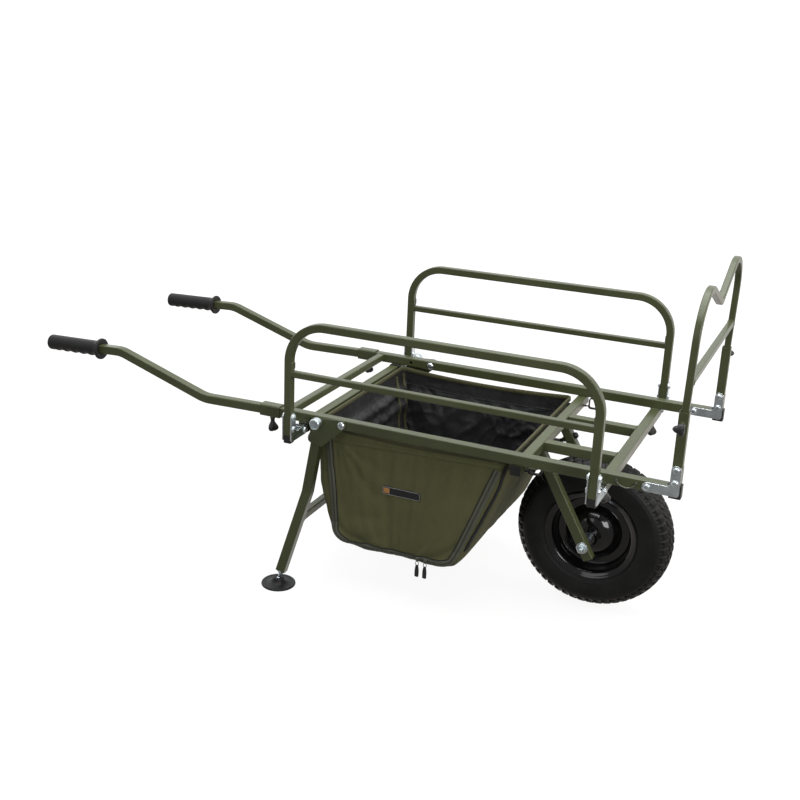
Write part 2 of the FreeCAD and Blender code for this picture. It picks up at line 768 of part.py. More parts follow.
def front_post_cap():
    """A moulded boot round the foot of a front post, standing proud in front."""
    half = post_size / 2.0
    side = half + boot_wall
    low = post_bottom - boot_floor
    boot = box(post_x - side, front_end_x, rail_y - side, rail_y + side, low, low + boot_height)
    upright = [edge for edge in boot.Edges if edge.BoundBox.ZLength > boot_height / 2]
    boot = boot.makeFillet(tube_corner, upright)
    rim = low + boot_height + drill_past
    socket = box(post_x - half, post_x + half, rail_y - half, rail_y + half, post_bottom, rim)
    return boot.cut(socket)


def leaned(shape):
    """Lean the raised front bar forward about the middle of its grip in the posts."""
    turned = shape.copy()
    turned.rotate(V(post_x, 0, (front_bar_low + post_top) / 2.0), V(0, 1, 0), front_bar_lean)
    return turned


def front_bar():
    """The raised bar: two uprights, round shoulders and a shallow V between them."""
    fall = math.radians(front_bar_fall)
    shoulder_y = rail_y - front_bar_r
    shoulder_z = front_bar_crown - front_bar_r
    slope_height = shoulder_z + front_bar_r / math.cos(fall)
    valley = slope_height - shoulder_y * math.tan(fall)
    corner_z = slope_height + front_bar_r * math.tan(fall)
    points = [V(post_x, rail_y, front_bar_low), V(post_x, rail_y, corner_z), V(post_x, 0, valley),
              V(post_x, -rail_y, corner_z), V(post_x, -rail_y, front_bar_low)]
    radii = [front_bar_r, front_valley_r, front_bar_r]
    bar = bent_tube(points, radii, front_bar_size, tube_wall, V(1, 0, 0))
    return leaned(bar)


def front_crossbar():
    half = rail_y - front_bar_size / 2.0
    start = V(post_x, -half, front_crossbar_z)
    return leaned(straight_tube(front_bar_size, tube_wall, start, V(post_x, half, front_crossbar_z)))


def front_brackets():
    """The corner plates of the front gate with their bolts."""
    pivot = V(front_pivot_x, rail_y, rail_z)
    half = tube_half + front_plate_gap
    pieces = []
    for side in (-1, 1):
        face = pivot + V(0, side * half, 0)
        pieces.append(corner_plate(face, V(1, 0, 0), V(0, side * plate_thick, 0)))
    pieces.extend(plate_bolts(pivot, V(1, 0, 0), V(0, 1, 0), half + plate_thick))
    return both_sides_of(pieces)


def front_knob():
    return thumb_screw(V(post_x, rail_y + post_size / 2.0, front_knob_z), V(0, 1, 0))


# ---------------------------------------------------------------- handles
def handle():
    """The bent handle tube with the square sleeve that slips over the rail's rear end."""
    points = [V(x, rail_y, z) for x, z in handle_points]
    bar = bent_tube(points, handle_radii, handle_size, tube_wall, V(0, 1, 0))
    start = V(sleeve_rear_x, rail_y, rail_z)
    end = V(sleeve_front_x, rail_y, rail_z)
    outer = straight_solid(sleeve_size, sleeve_corner, start, end, V(0, 0, 1))
    bore_start = V(rail_rear_x - sleeve_stop, rail_y, rail_z)
    bore = straight_solid(sleeve_size - 2 * sleeve_wall, tube_corner, bore_start, end, V(0, 0, 1))
    behind = kept(bar, front_x=sleeve_rear_x + sleeve_overlap)
    sleeve = outer.cut(bore).fuse(behind)
    return with_nut(sleeve, V(handle_knob_x, rail_y, rail_z - sleeve_size / 2.0), V(0, 0, -1), sleeve_wall)


def grip():
    """A rubber hand grip with finger waves and a flange, pushed over the handle's end."""
    rear = V(rear_end_x, rail_y, handle_points[0][1])
    slope = (handle_points[1][1] - handle_points[0][1]) / (handle_points[1][0] - handle_points[0][0])
    axis = V(1, 0, slope).normalize()
    length = grip_front_x - rear_end_x
    soft = 5.0
    start, last = V(0, 0, 0), V(grip_r, 0, soft)
    edges = [Part.LineSegment(start, V(grip_r - soft, 0, 0)), Part.LineSegment(V(grip_r - soft, 0, 0), last)]
    step = (length - grip_plain) / grip_waves
    for index in range(grip_waves):
        there = last + V(0, 0, step)
        edges.append(Part.Arc(last, last + V(grip_wave, 0, step / 2.0), there))
        last = there
    inner_r = grip_flange_r - grip_flange_soft
    for r, back in ((inner_r, grip_flange_thick), (grip_flange_r, grip_flange_thick - grip_flange_soft),
                    (grip_flange_r, grip_flange_soft), (inner_r, 0.0), (0.0, 0.0)):
        there = V(r, 0, length - back)
        edges.append(Part.LineSegment(last, there))
        last = there
    edges.append(Part.LineSegment(last, start))
    face = Part.Face(Part.Wire([edge.toShape() for edge in edges]))
    body = placed(face.revolve(V(0, 0, 0), V(0, 0, 1), 360), rear, axis)
    tube_end = V(handle_points[0][0], rail_y, handle_points[0][1])
    bore = straight_solid(handle_size, tube_corner, tube_end, tube_end + axis * length, V(0, 1, 0))
    return body.cut(bore)


def handle_knob():
    return thumb_screw(V(handle_knob_x, rail_y, rail_z - sleeve_size / 2.0), V(0, 0, -1))


# ---------------------------------------------------------------- leg frame
def leg_runs(size):
    """The upper and lower straight runs of a leg, mitred at its elbow."""
    top, elbow, bottom = [V(*point) for point in leg_points]
    upper_axis = (elbow - top).normalize()
    lower_axis = (bottom - elbow).normalize()
    side = V(0, 1, 0)
    upper = straight_solid(size, leg_corner, top - upper_axis * leg_over, elbow + upper_axis * leg_cross, side)
    lower = straight_solid(size, leg_corner, elbow - lower_axis * leg_cross, bottom, side)
    mitre = (upper_axis + lower_axis).normalize()
    beyond = placed(box(-leg_top, leg_top, -leg_top, leg_top, 0, leg_top), elbow, mitre)
    return upper.cut(beyond), lower.common(beyond)


def leg_plate():
    """The gusset outside the rail that carries the pivot and the locking pin."""
    face_y = rail_y + tube_half + leg_plate_gap
    lobe = tube_half - clear
    pivot = V(leg_pivot_x, face_y, rail_z)

    def round_end(degrees):
        angle = math.radians(degrees)
        return pivot + V(lobe * math.cos(angle), 0, lobe * math.sin(angle))

    rear_top, rear_low, front_low = [V(x, face_y, z) for x, z in gusset_corners]
    lobe_rear, lobe_middle, lobe_front = [round_end(degrees) for degrees in gusset_lobe]
    edges = [Part.LineSegment(rear_low, rear_top), Part.LineSegment(rear_top, lobe_rear),
             Part.Arc(lobe_rear, lobe_middle, lobe_front), Part.LineSegment(lobe_front, front_low),
             Part.LineSegment(front_low, rear_low)]
    face = Part.Face(Part.Wire([edge.toShape() for edge in edges]))
    plate = face.extrude(V(0, leg_plate_thick, 0))
    for x, radius in ((leg_pivot_x, leg_bolt_r), (leg_pin_x, leg_pin_r + clear)):
        plate = plate.cut(rod(radius, V(x, rail_y, rail_z), V(x, face_y + tube, rail_z)))
    weld_y = (rail_y + tube_half - gusset_weld_in, face_y + gusset_weld_in)
    return plate.fuse(box(*gusset_weld_x, *weld_y, *gusset_weld_z))


def leg():
    """A cranked leg tube with its gusset."""
    upper, lower = leg_runs(tube)
    inner_upper, inner_lower = leg_runs(tube - 2 * tube_wall)
    body = upper.fuse(lower).cut(inner_upper.fuse(inner_lower))
    return kept(body, top_z=leg_top).fuse(leg_plate())


def leg_brace():
    elbow, bottom = [V(*point) for point in leg_points[1:]]
    share = (elbow.z - leg_brace_z) / (elbow.z - bottom.z)
    end = elbow + (bottom - elbow) * share
    bar = straight_tube(leg_brace_size, tube_wall, V(end.x, -end.y, leg_brace_z), V(end.x, end.y, leg_brace_z))
    lower = leg_runs(tube)[1]
    return bar.cut(group([lower, mirrored(lower)]))


def foot_ball():
    """Centre of the ball under a leg, and the unit direction down the leg's lower run."""
    elbow, bottom = [V(*point) for point in leg_points[1:]]
    down = (bottom - elbow).normalize()
    reach = (bottom.z - foot_ball_z) / -down.z
    return bottom + down * reach, down


def leg_bolts():
    """Pivot bolts, the locking pins' housings and the ball studs under the legs."""
    outer = rail_y + tube_half + leg_plate_gap + leg_plate_thick
    inner = rail_y - tube_half - leg_inner_gap
    pivot_ends = [V(leg_pivot_x, y, rail_z) for y in (inner, outer)]
    pivot = bolt(*pivot_ends, leg_bolt_r, leg_head_r, leg_head_high)
    bore = leg_pin_r + clear
    ring = [(bore, 0), (pin_sleeve_r, 0), (pin_sleeve_r, pin_sleeve_long), (bore, pin_sleeve_long)]
    sleeve = revolved(ring, V(leg_pin_x, outer, rail_z), V(0, 1, 0))
    ball, down = foot_ball()
    bottom = V(*leg_points[2])
    seat = revolved(foot_seat, bottom, down)
    stud = rod(foot_stud_r, bottom, ball).fuse([seat, Part.makeSphere(foot_ball_r, ball)])
    return both_sides_of([pivot, sleeve, stud])


def release_plunger():
    """A sprung locking pin with a big knurled pull knob."""
    outer = rail_y + tube_half + leg_plate_gap + leg_plate_thick
    tip = rail_y + tube_half + pin_tip_gap - outer
    low = pin_sleeve_long + pin_sleeve_gap
    pin = [(0, tip), (leg_pin_r, tip), (leg_pin_r, low), (pin_knob_neck, low)]
    knob = [(pin_knob_r, low + pin_knob_soft), (pin_knob_r, pin_knob_end - pin_knob_soft),
            (pin_knob_r - pin_knob_soft, pin_knob_end), (0, pin_knob_end)]
    return revolved(pin + knob, V(leg_pin_x, outer, rail_z), V(0, 1, 0))


def foot():
    """A wide round pad with a socket that holds the leg's ball."""
    ball = foot_ball()[0]
    pad = revolved(foot_profile, V(ball.x, ball.y, 0), V(0, 0, 1))
    socket = Part.makeSphere(foot_ball_r + foot_ball_play, ball)
    mouth = Part.makeCone(*foot_mouth, ball)
    return pad.cut(socket).cut(mouth)


# ---------------------------------------------------------------- bag and fittings
def bag_block(inset, top_lift):
    """The tapered block between the bag's levels, moved in on every side but the top."""
    wires = []
    for z, xs, half in bag_levels:
        x0 = xs[0] + inset
        x1 = xs[1] - inset
        y = half - inset
        height = z + inset if z == bag_floor else z
        corners = [V(x0, -y, height), V(x1, -y, height), V(x1, y, height), V(x0, y, height)]
        wires.append(Part.makePolygon(corners + [corners[0]]))
    block = Part.makeLoft(wires, True, True)
    if top_lift:
        lid = Part.Face(wires[-1]).extrude(V(0, 0, top_lift))
        block = block.fuse(lid)
    return block


def panel_half(height):
    """Half width of the bag at a height between two of its levels."""
    for low, high in zip(bag_levels, bag_levels[1:]):
        if low[0] <= height <= high[0]:
            return low[2] + (high[2] - low[2]) * (height - low[0]) / (high[0] - low[0])


def bag_shell():
    """The bag as an open tapered box of thick walls."""
    return bag_block(0.0, 0.0).cut(bag_block(bag_wall, bag_open_over))


def bag_strap(tube_x, bag_x):
    """A webbing loop round a lower cross tube, with a tab to the bag's rim."""
    reach = tube_half + strap_gap
    y0 = strap_y - strap_width / 2.0
    y1 = strap_y + strap_width / 2.0
    outer = reach + strap_thick
    ring = box(tube_x - outer, tube_x + outer, y0, y1, under_z - outer, under_z + outer)
    ring = ring.cut(box(tube_x - reach, tube_x + reach, y0, y1, under_z - reach, under_z + reach))
    side = 1.0 if bag_x > tube_x else -1.0
    near = tube_x + side * (outer - strap_overlap)
    tab = box(min(near, bag_x), max(near, bag_x), y0, y1, *strap_tab_z)
    return ring.fuse(tab)


def bag_straps():
    rim_rear, rim_front = bag_levels[-1][1]
    rear = bag_strap(lower_rear_x, rim_rear - strap_gap)
    front = bag_strap(lower_middle_x, rim_front + strap_gap)
    return group([rear, front, mirrored(rear), mirrored(front)])


def badge():
    """A plain sewn patch on the bag's right side panel."""
    inner = -panel_half(badge_z[1]) - badge_gap
    return box(badge_x[0], badge_x[1], inner - badge_thick, inner, badge_z[0], badge_z[1])


def zip_sliders():
    """The two sliders that meet on the zip along the bag's lower edge."""
    wide, deep, tall = slider_size
    bodies = []
    for x in zip_xs:
        corner = V(x - wide / 2, zip_y - deep / 2, zip_z - tall / 2)
        bodies.append(Part.makeBox(wide, deep, tall, corner))
    return group(bodies)


def zip_puller(x):
    """A wire loop and a moulded tab that hang from a slider."""
    wide, deep, tall = pull_tab
    loop_out = pull_loop_r + pull_wire_r
    loop = V(x, zip_y, zip_z - slider_size[2] / 2 - pull_gap - loop_out)
    ring = placed(Part.makeTorus(pull_loop_r, pull_wire_r), loop, V(0, 1, 0))
    top = loop.z - pull_loop_r
    tab = box(x - wide / 2, x + wide / 2, zip_y - deep / 2, zip_y + deep / 2, top - tall, top)
    upright = [edge for edge in tab.Edges if edge.BoundBox.YLength > deep / 2]
    return ring.fuse(tab.makeFillet(wide / 3.0, upright))


# ---------------------------------------------------------------- write every piece
def save_pair(name, shape):
    save(name + "_left", shape)
    save(name + "_right", mirrored(shape))


def main():
    save_pair("side_rail", side_rail())
    save("rear_cross_bar", rear_cross_bar())
    save("lower_cross_tube_rear", lower_cross_tube(lower_rear_x))
    save("lower_cross_tube_middle", lower_cross_tube_middle())
    save("lower_cross_tube_front", lower_cross_tube(lower_front_x))
    save("wheel_rails", both_sides(wheel_rail()))
    save("end_caps", end_caps())
    save("tie_loops", both_sides(tie_loop()))
    save_pair("fork_arm", fork_arm())
    save_pair("fork_knob", fork_knob())
    save("axle", axle())
    save("axle_fittings", axle_fittings())
    save("wheel_bearings", both_sides(wheel_bearing()))
    save("hub", hub())
    save("rim", rim())
    save("tyre", tyre())
    save("inner_tube", inner_tube())
    save("valve", valve())
    save_pair("gate_frame", gate_frame())
    save_pair("gate_caps", gate_caps())
    save_pair("gate_brackets", gate_brackets())
    save_pair("gate_arms", gate_arms())
    save_pair("gate_knob_rear", gate_knob(lower_rear_x))
    save_pair("gate_knob_front", gate_knob(lower_front_x))
    save("front_posts", both_sides(front_post()))
    save("front_post_caps", both_sides(front_post_cap()))
    save("front_brackets", front_brackets())
    save("front_bar", front_bar())
    save("front_crossbar", front_crossbar())
    save_pair("front_knob", front_knob())
    save_pair("handle", handle())
    save_pair("grip", grip())
    save_pair("handle_knob", handle_knob())
    save_pair("leg", leg())
    save("leg_brace", leg_brace())
    save("leg_bolts", leg_bolts())
    save_pair("release_plunger", release_plunger())
    save_pair("foot", foot())
    save("bag_shell", bag_shell())
    save("bag_straps", bag_straps())
    save("badge", badge())
    save("zip_sliders", zip_sliders())
    save("zip_puller_rear", zip_puller(zip_xs[0]))
    save("zip_puller_front", zip_puller(zip_xs[1]))


main()
for piece_name, piece in made.items():
    bounds = piece.BoundBox
    limits = (bounds.XMin, bounds.XMax, bounds.YMin, bounds.YMax, bounds.ZMin, bounds.ZMax)
    state = "valid" if piece.isValid() else "INVALID"
    print(piece_name, state, len(piece.Solids), "solids", "%.0f..%.0f %.0f..%.0f %.0f..%.0f" % limits)
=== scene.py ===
"""Looks for the one-wheeled field barrow: materials, fabric bag, tyre, grips, knobs and fine hardware.

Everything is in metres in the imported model's own frame, +Z up and +X towards the wheel.
"""
import json
import math
import random

import bmesh
import bpy
import numpy
from mathutils import Matrix, Vector, noise
from mathutils.bvhtree import BVHTree


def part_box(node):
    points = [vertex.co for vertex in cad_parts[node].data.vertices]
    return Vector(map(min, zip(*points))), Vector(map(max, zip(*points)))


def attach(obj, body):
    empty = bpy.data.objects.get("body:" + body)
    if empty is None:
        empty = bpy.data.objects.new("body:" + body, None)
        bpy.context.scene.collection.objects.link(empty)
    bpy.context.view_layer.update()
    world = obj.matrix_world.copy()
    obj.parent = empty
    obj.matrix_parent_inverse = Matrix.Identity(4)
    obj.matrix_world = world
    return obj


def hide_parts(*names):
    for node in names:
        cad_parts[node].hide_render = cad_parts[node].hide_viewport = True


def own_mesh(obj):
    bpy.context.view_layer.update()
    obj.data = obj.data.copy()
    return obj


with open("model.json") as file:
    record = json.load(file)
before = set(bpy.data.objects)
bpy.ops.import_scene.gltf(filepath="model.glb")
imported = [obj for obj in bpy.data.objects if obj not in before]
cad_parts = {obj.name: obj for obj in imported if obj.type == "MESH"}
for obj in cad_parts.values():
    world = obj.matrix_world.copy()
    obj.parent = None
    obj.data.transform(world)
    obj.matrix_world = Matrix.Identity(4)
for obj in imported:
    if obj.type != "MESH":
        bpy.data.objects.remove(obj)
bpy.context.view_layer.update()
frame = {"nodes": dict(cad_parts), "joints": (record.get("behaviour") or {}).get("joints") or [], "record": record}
MM = 0.001
UP = Vector((0, 0, 1))
X = Vector((1, 0, 0))
Y = Vector((0, 1, 0))
joints = {joint["name"]: joint for joint in frame["joints"]}
SIDES = (("left", 1.0), ("right", -1.0))
TUBE_HALF = 12.5 * MM       # half the side of the rails and cross tubes
BAG_CORNER = 18 * MM        # corner radius of the bag seen from above


# ---------------------------------------------------------------- mesh helpers
def new_mesh(name, verts, faces, uvs=None, smooth=True):
    """Link a mesh object; uvs holds one (u, v) for each vertex, in metres."""
    mesh = bpy.data.meshes.new(name)
    mesh.from_pydata([tuple(v) for v in verts], [], faces)
    if uvs:
        layer = mesh.uv_layers.new(name="UVMap")
        for loop in mesh.loops:
            layer.data[loop.index].uv = uvs[loop.vertex_index]
    mesh.polygons.foreach_set("use_smooth", [smooth] * len(mesh.polygons))
    mesh.update()
    piece = bpy.data.objects.new(name, mesh)
    bpy.context.scene.collection.objects.link(piece)
    return piece


def joined(name, parts):
    """One mesh from several (verts, faces, uvs) parts."""
    verts, faces, uvs = [], [], []
    for part_verts, part_faces, part_uvs in parts:
        base = len(verts)
        verts.extend(part_verts)
        uvs.extend(part_uvs or [(0.0, 0.0)] * len(part_verts))
        faces.extend([tuple(i + base for i in face) for face in part_faces])
    return new_mesh(name, verts, faces, uvs)


def strip(rows, closed_rows=False, closed_across=False, uvs=None):
    """Quads over equal rows of points; the rows and the points across may each close."""
    verts = [v for row in rows for v in row]
    width = len(rows[0])
    faces = []
    for i in range(len(rows) if closed_rows else len(rows) - 1):
        j = (i + 1) % len(rows)
        for k in range(width if closed_across else width - 1):
            m = (k + 1) % width
            faces.append((i * width + k, i * width + m, j * width + m, j * width + k))
    return verts, faces, uvs


def basis(axis):
    """Two directions that make a right-handed frame with axis."""
    axis = axis.normalized()
    side = axis.cross(UP if abs(axis.z) < 0.9 else X).normalized()
    return side, axis.cross(side).normalized()


def turned(profile, start, axis, segments=48, wave=None):
    """A solid of revolution from (radius, height) points; wave(angle, height) scales the radius."""
    side, up = basis(axis)
    axis = axis.normalized()
    rows = []
    for r, h in profile:
        row = []
        for k in range(segments):
            a = 2 * math.pi * k / segments
            reach = r * (wave(a, h) if wave else 1.0)
            row.append(start + axis * h + (side * math.cos(a) + up * math.sin(a)) * reach)
        rows.append(row)
    verts, faces, uvs = strip(rows, closed_across=True)
    for row, flip in ((0, True), (len(rows) - 1, False)):
        if profile[row][0] > 1e-6:
            ring = [row * segments + k for k in range(segments)]
            faces.append(tuple(reversed(ring)) if flip else tuple(ring))
    return verts, faces, uvs


def swept(path, section, closed=False, normal=None):
    """Sweep a closed section of (across, out) points along a path; normal(i) points out."""
    rows, uvs = [], []
    count = len(path)
    length = 0.0
    for i, point in enumerate(path):
        before = path[i - 1] if i or closed else point
        after = path[(i + 1) % count] if i + 1 < count or closed else point
        along = (after - before).normalized()
        out = normal(i) if normal else basis(along)[1]
        across = along.cross(out).normalized()
        out = across.cross(along).normalized()
        rows.append([point + across * a + out * b for a, b in section])
        if i:
            length += (point - path[i - 1]).length
        uvs.extend([(length, a) for a, b in section])
    verts, faces, _ = strip(rows, closed_rows=closed, closed_across=True)
    if not closed:
        width = len(section)
        faces.append(tuple(reversed(range(width))))
        faces.append(tuple((count - 1) * width + k for k in range(width)))
    return verts, faces, uvs


def circle_section(radius, steps=10):
    return [(radius * math.cos(2 * math.pi * k / steps), radius * math.sin(2 * math.pi * k / steps))
            for k in range(steps)]


def tape_section(width, thick):
    """A flat band with softened edges, lying on its path."""
    half = width / 2
    soft = min(thick, half) * 0.5
    return [(-half, 0), (-half, thick - soft), (-half + soft, thick), (0, thick * 1.05), (half - soft, thick),
            (half, thick - soft), (half, 0), (0, -thick * 0.3)]


def smooth_line(points, steps):
    """Even points on a Catmull-Rom curve through the given points."""
    points = [Vector(p) for p in points]
    ends = [points[0] * 2 - points[1]] + points + [points[-1] * 2 - points[-2]]
    out = []
    for i in range(1, len(ends) - 2):
        a, b, c, d = ends[i - 1:i + 3]
        for step in range(steps):
            t = step / steps
            bend = (2 * a - 5 * b + 4 * c - d) * t * t
            out.append(0.5 * ((2 * b) + (c - a) * t + bend + (3 * b - a - 3 * c + d) * t ** 3))
    out.append(points[-1])
    return out


def place(piece, material, body, slot, *nodes):
    """Give a piece its material and body, and let it stand for CAD nodes."""
    piece.data.materials.clear()
    piece.data.materials.append(material)
    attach(piece, body)
    if nodes:
        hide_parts(*nodes)
    return piece


def apply_modifiers(piece):
    bpy.context.view_layer.update()
    graph = bpy.context.evaluated_depsgraph_get()
    mesh = bpy.data.meshes.new_from_object(piece.evaluated_get(graph))
    piece.modifiers.clear()
    piece.data = mesh


# ---------------------------------------------------------------- materials
class Shader:
    """A material with short calls that add nodes to its Principled shader."""

    def __init__(self, name, roughness, metallic=0.0, specular=0.5, **sockets):
        self.material = bpy.data.materials.new(name)
        self.material.use_nodes = True
        self.tree = self.material.node_tree
        self.bsdf = self.tree.nodes["Principled BSDF"]
        self.bsdf.inputs["Roughness"].default_value = roughness
        self.bsdf.inputs["Metallic"].default_value = metallic
        self.bsdf.inputs["Specular IOR Level"].default_value = specular
        for socket, value in sockets.items():
            self.bsdf.inputs[socket.replace("_", " ").title()].default_value = value
        self.place = self.tree.nodes.new("ShaderNodeTexCoord")

    def node(self, kind, **inputs):
        made = self.tree.nodes.new("ShaderNode" + kind)
        for key, value in inputs.items():
            socket = made.inputs[key]
            if isinstance(value, bpy.types.NodeSocket):
                self.tree.links.new(value, socket)
            else:
                socket.default_value = value
        return made

    def noise(self, scale, detail=3.0, rough=0.5, stretch=None):
        where = self.place.outputs["Object"]
        if stretch:
            where = self.node("Mapping", Vector=where, Scale=stretch).outputs["Vector"]
        return self.node("TexNoise", Vector=where, Scale=scale, Detail=detail, Roughness=rough).outputs["Fac"]

    def math(self, operation, a, b=0.0):
        made = self.tree.nodes.new("ShaderNodeMath")
        made.operation = operation
        for socket, value in ((made.inputs[0], a), (made.inputs[1], b)):
            if isinstance(value, bpy.types.NodeSocket):
                self.tree.links.new(value, socket)
            else:
                socket.default_value = value
        return made.outputs[0]

    def spread(self, value, low, high, to_low, to_high):
        made = self.node("MapRange", Value=value)
        for key, number in (("From Min", low), ("From Max", high), ("To Min", to_low), ("To Max", to_high)):
            made.inputs[key].default_value = number
        return made.outputs["Result"]

    def mix(self, share, a, b):
        made = self.tree.nodes.new("ShaderNodeMix")
        made.data_type = "RGBA"
        for socket, value in ((made.inputs["Factor"], share), (made.inputs["A"], a), (made.inputs["B"], b)):
            if isinstance(value, bpy.types.NodeSocket):
                self.tree.links.new(value, socket)
            elif isinstance(value, tuple):
                socket.default_value = (*value, 1.0)
            else:
                socket.default_value = value
        return made.outputs["Result"]

    def colour(self, socket):
        self.tree.links.new(socket, self.bsdf.inputs["Base Color"])

    def roughness(self, socket):
        self.tree.links.new(socket, self.bsdf.inputs["Roughness"])

    def bump(self, *layers, rounded=0.0):
        """Stack (height, distance, strength) bumps, on edges rounded to a radius."""
        normal = None
        if rounded:
            soft = self.node("Bevel", Radius=rounded)
            soft.samples = 4
            normal = soft.outputs["Normal"]
        for height, distance, strength in layers:
            made = self.node("Bump", Height=height, Distance=distance, Strength=strength)
            if normal:
                self.tree.links.new(normal, made.inputs["Normal"])
            normal = made.outputs["Normal"]
        self.tree.links.new(normal, self.bsdf.inputs["Normal"])

    def edges(self, radius):
        """About 1 on edges that stand proud or sink in, and 0 on flats."""
        soft = self.node("Bevel", Radius=radius)
        soft.samples = 4
        flat = self.tree.nodes.new("ShaderNodeNewGeometry")
        dot = self.tree.nodes.new("ShaderNodeVectorMath")
        dot.operation = "DOT_PRODUCT"
        self.tree.links.new(soft.outputs["Normal"], dot.inputs[0])
        self.tree.links.new(flat.outputs["Normal"], dot.inputs[1])
        return self.spread(dot.outputs["Value"], 0.995, 0.93, 0.0, 1.0)


def olive_paint():
    s = Shader("olive_paint", 0.4, specular=0.5)
    cloud = s.noise(7.0, 2.0)
    fleck = s.noise(420.0, 2.0)
    body = s.mix(s.spread(cloud, 0.35, 0.65, 0.0, 1.0), (0.050, 0.058, 0.023), (0.062, 0.071, 0.030))
    worn = s.math("MULTIPLY", s.edges(0.0012), s.spread(s.noise(60.0, 4.0), 0.42, 0.62, 0.0, 0.6))
    s.colour(s.mix(worn, body, (0.125, 0.132, 0.096)))
    s.roughness(s.spread(s.math("ADD", cloud, s.math("MULTIPLY", fleck, 0.5)), 0.5, 1.0, 0.26, 0.38))
    s.bump((fleck, 0.0003, 0.12), (s.noise(90.0, 3.0), 0.0006, 0.06), rounded=1.5 * MM)
    return s.material


def zinc_steel():
    s = Shader("zinc_steel", 0.3, metallic=1.0)
    cloud = s.noise(38.0, 4.0, 0.6)
    grain = s.noise(700.0, 2.0, 0.6, (1.0, 1.0, 0.15))
    tone = s.mix(s.spread(cloud, 0.3, 0.7, 0.0, 1.0), (0.53, 0.61, 0.65), (0.70, 0.77, 0.80))
    # Painted highlight: every edge is lightened towards near-white, standing for the light that the plates' rounded
    # edges catch.
    s.colour(s.mix(s.math("MULTIPLY", s.edges(0.0016), 0.85), tone, (0.97, 0.98, 0.98)))
    s.roughness(s.spread(s.math("ADD", cloud, s.math("MULTIPLY", grain, 0.4)), 0.4, 1.0, 0.18, 0.40))
    s.bump((grain, 0.0002, 0.1), (cloud, 0.0004, 0.05), rounded=2.0 * MM)
    return s.material


def mottled(name, dark, light, base, cloud, rough, grain, **sockets):
    """Soft clouds of tone and gloss under a fine grain; cloud is (scale, detail), rough is (low, high) and
    grain is (scale, detail, roughness, distance, strength)."""
    s = Shader(name, base, **sockets)
    clouds = s.noise(*cloud)
    s.colour(s.mix(s.spread(clouds, 0.3, 0.7, 0.0, 1.0), dark, light))
    s.roughness(s.spread(clouds, 0.3, 0.7, *rough))
    s.bump((s.noise(*grain[:3]), *grain[3:]))
    return s.material


def gloss_black():
    s = Shader("gloss_black_paint", 0.12, specular=0.38, coat_weight=0.5, coat_roughness=0.03)
    dust = s.noise(30.0, 5.0, 0.65)
    s.colour(s.mix(s.spread(dust, 0.45, 0.8, 0.0, 1.0), (0.003, 0.003, 0.003), (0.009, 0.009, 0.0085)))
    s.roughness(s.spread(dust, 0.4, 0.8, 0.09, 0.24))
    s.bump((s.noise(140.0, 2.0), 0.0003, 0.04), rounded=1.2 * MM)
    return s.material


def tyre_rubber():
    s = Shader("tyre_rubber", 0.6, specular=0.27)
    cloud = s.noise(16.0, 5.0, 0.6)
    grain = s.noise(900.0, 3.0, 0.6)
    s.colour(s.mix(s.spread(cloud, 0.35, 0.75, 0.0, 1.0), (0.0045, 0.0046, 0.0046), (0.0105, 0.0105, 0.0100)))
    s.roughness(s.spread(cloud, 0.3, 0.7, 0.42, 0.62))
    s.bump((grain, 0.0003, 0.2), (s.noise(120.0, 3.0), 0.0005, 0.1))
    return s.material


def soft_rubber(name, dark, light, roughness):
    return mottled(name, dark, light, roughness, (26.0, 4.0), (roughness - 0.06, roughness + 0.08),
                   (1100.0, 2.0, 0.7, 0.0003, 0.25), specular=0.35)


def woven(name, dark, light, roughness, pitch, depth, sheen=0.2, crease=0.25, specular=0.3):
    """A plain weave laid out by UV in metres, with colour drift and soft creases."""
    s = Shader(name, roughness, specular=specular, sheen_weight=sheen, sheen_roughness=0.5)
    split = s.node("SeparateXYZ", Vector=s.place.outputs["UV"])
    turns = 2 * math.pi / pitch
    warp = s.math("SINE", s.math("MULTIPLY", split.outputs["X"], turns))
    weft = s.math("SINE", s.math("MULTIPLY", split.outputs["Y"], turns))
    weave = s.math("ADD", s.math("MULTIPLY", s.math("MULTIPLY", warp, weft), 0.5), 0.5)
    cloud = s.noise(9.0, 4.0, 0.6)
    yarn = s.noise(260.0, 2.0, 0.6)
    drift = s.math("ADD", s.math("MULTIPLY", cloud, 0.7), s.math("MULTIPLY", yarn, 0.3))
    body = s.mix(s.spread(drift, 0.35, 0.65, 0.0, 1.0), dark, light)
    shade = tuple(c * 0.62 for c in dark)
    s.colour(s.mix(s.spread(weave, 0.0, 0.55, 0.45, 0.0), body, shade))
    s.roughness(s.spread(drift, 0.3, 0.7, roughness - 0.07, roughness + 0.07))
    s.bump((s.noise(34.0, 4.0, 0.55), 0.004, crease), (weave, depth, 0.45))
    return s.material


def grey(level):
    return (level, level, level)


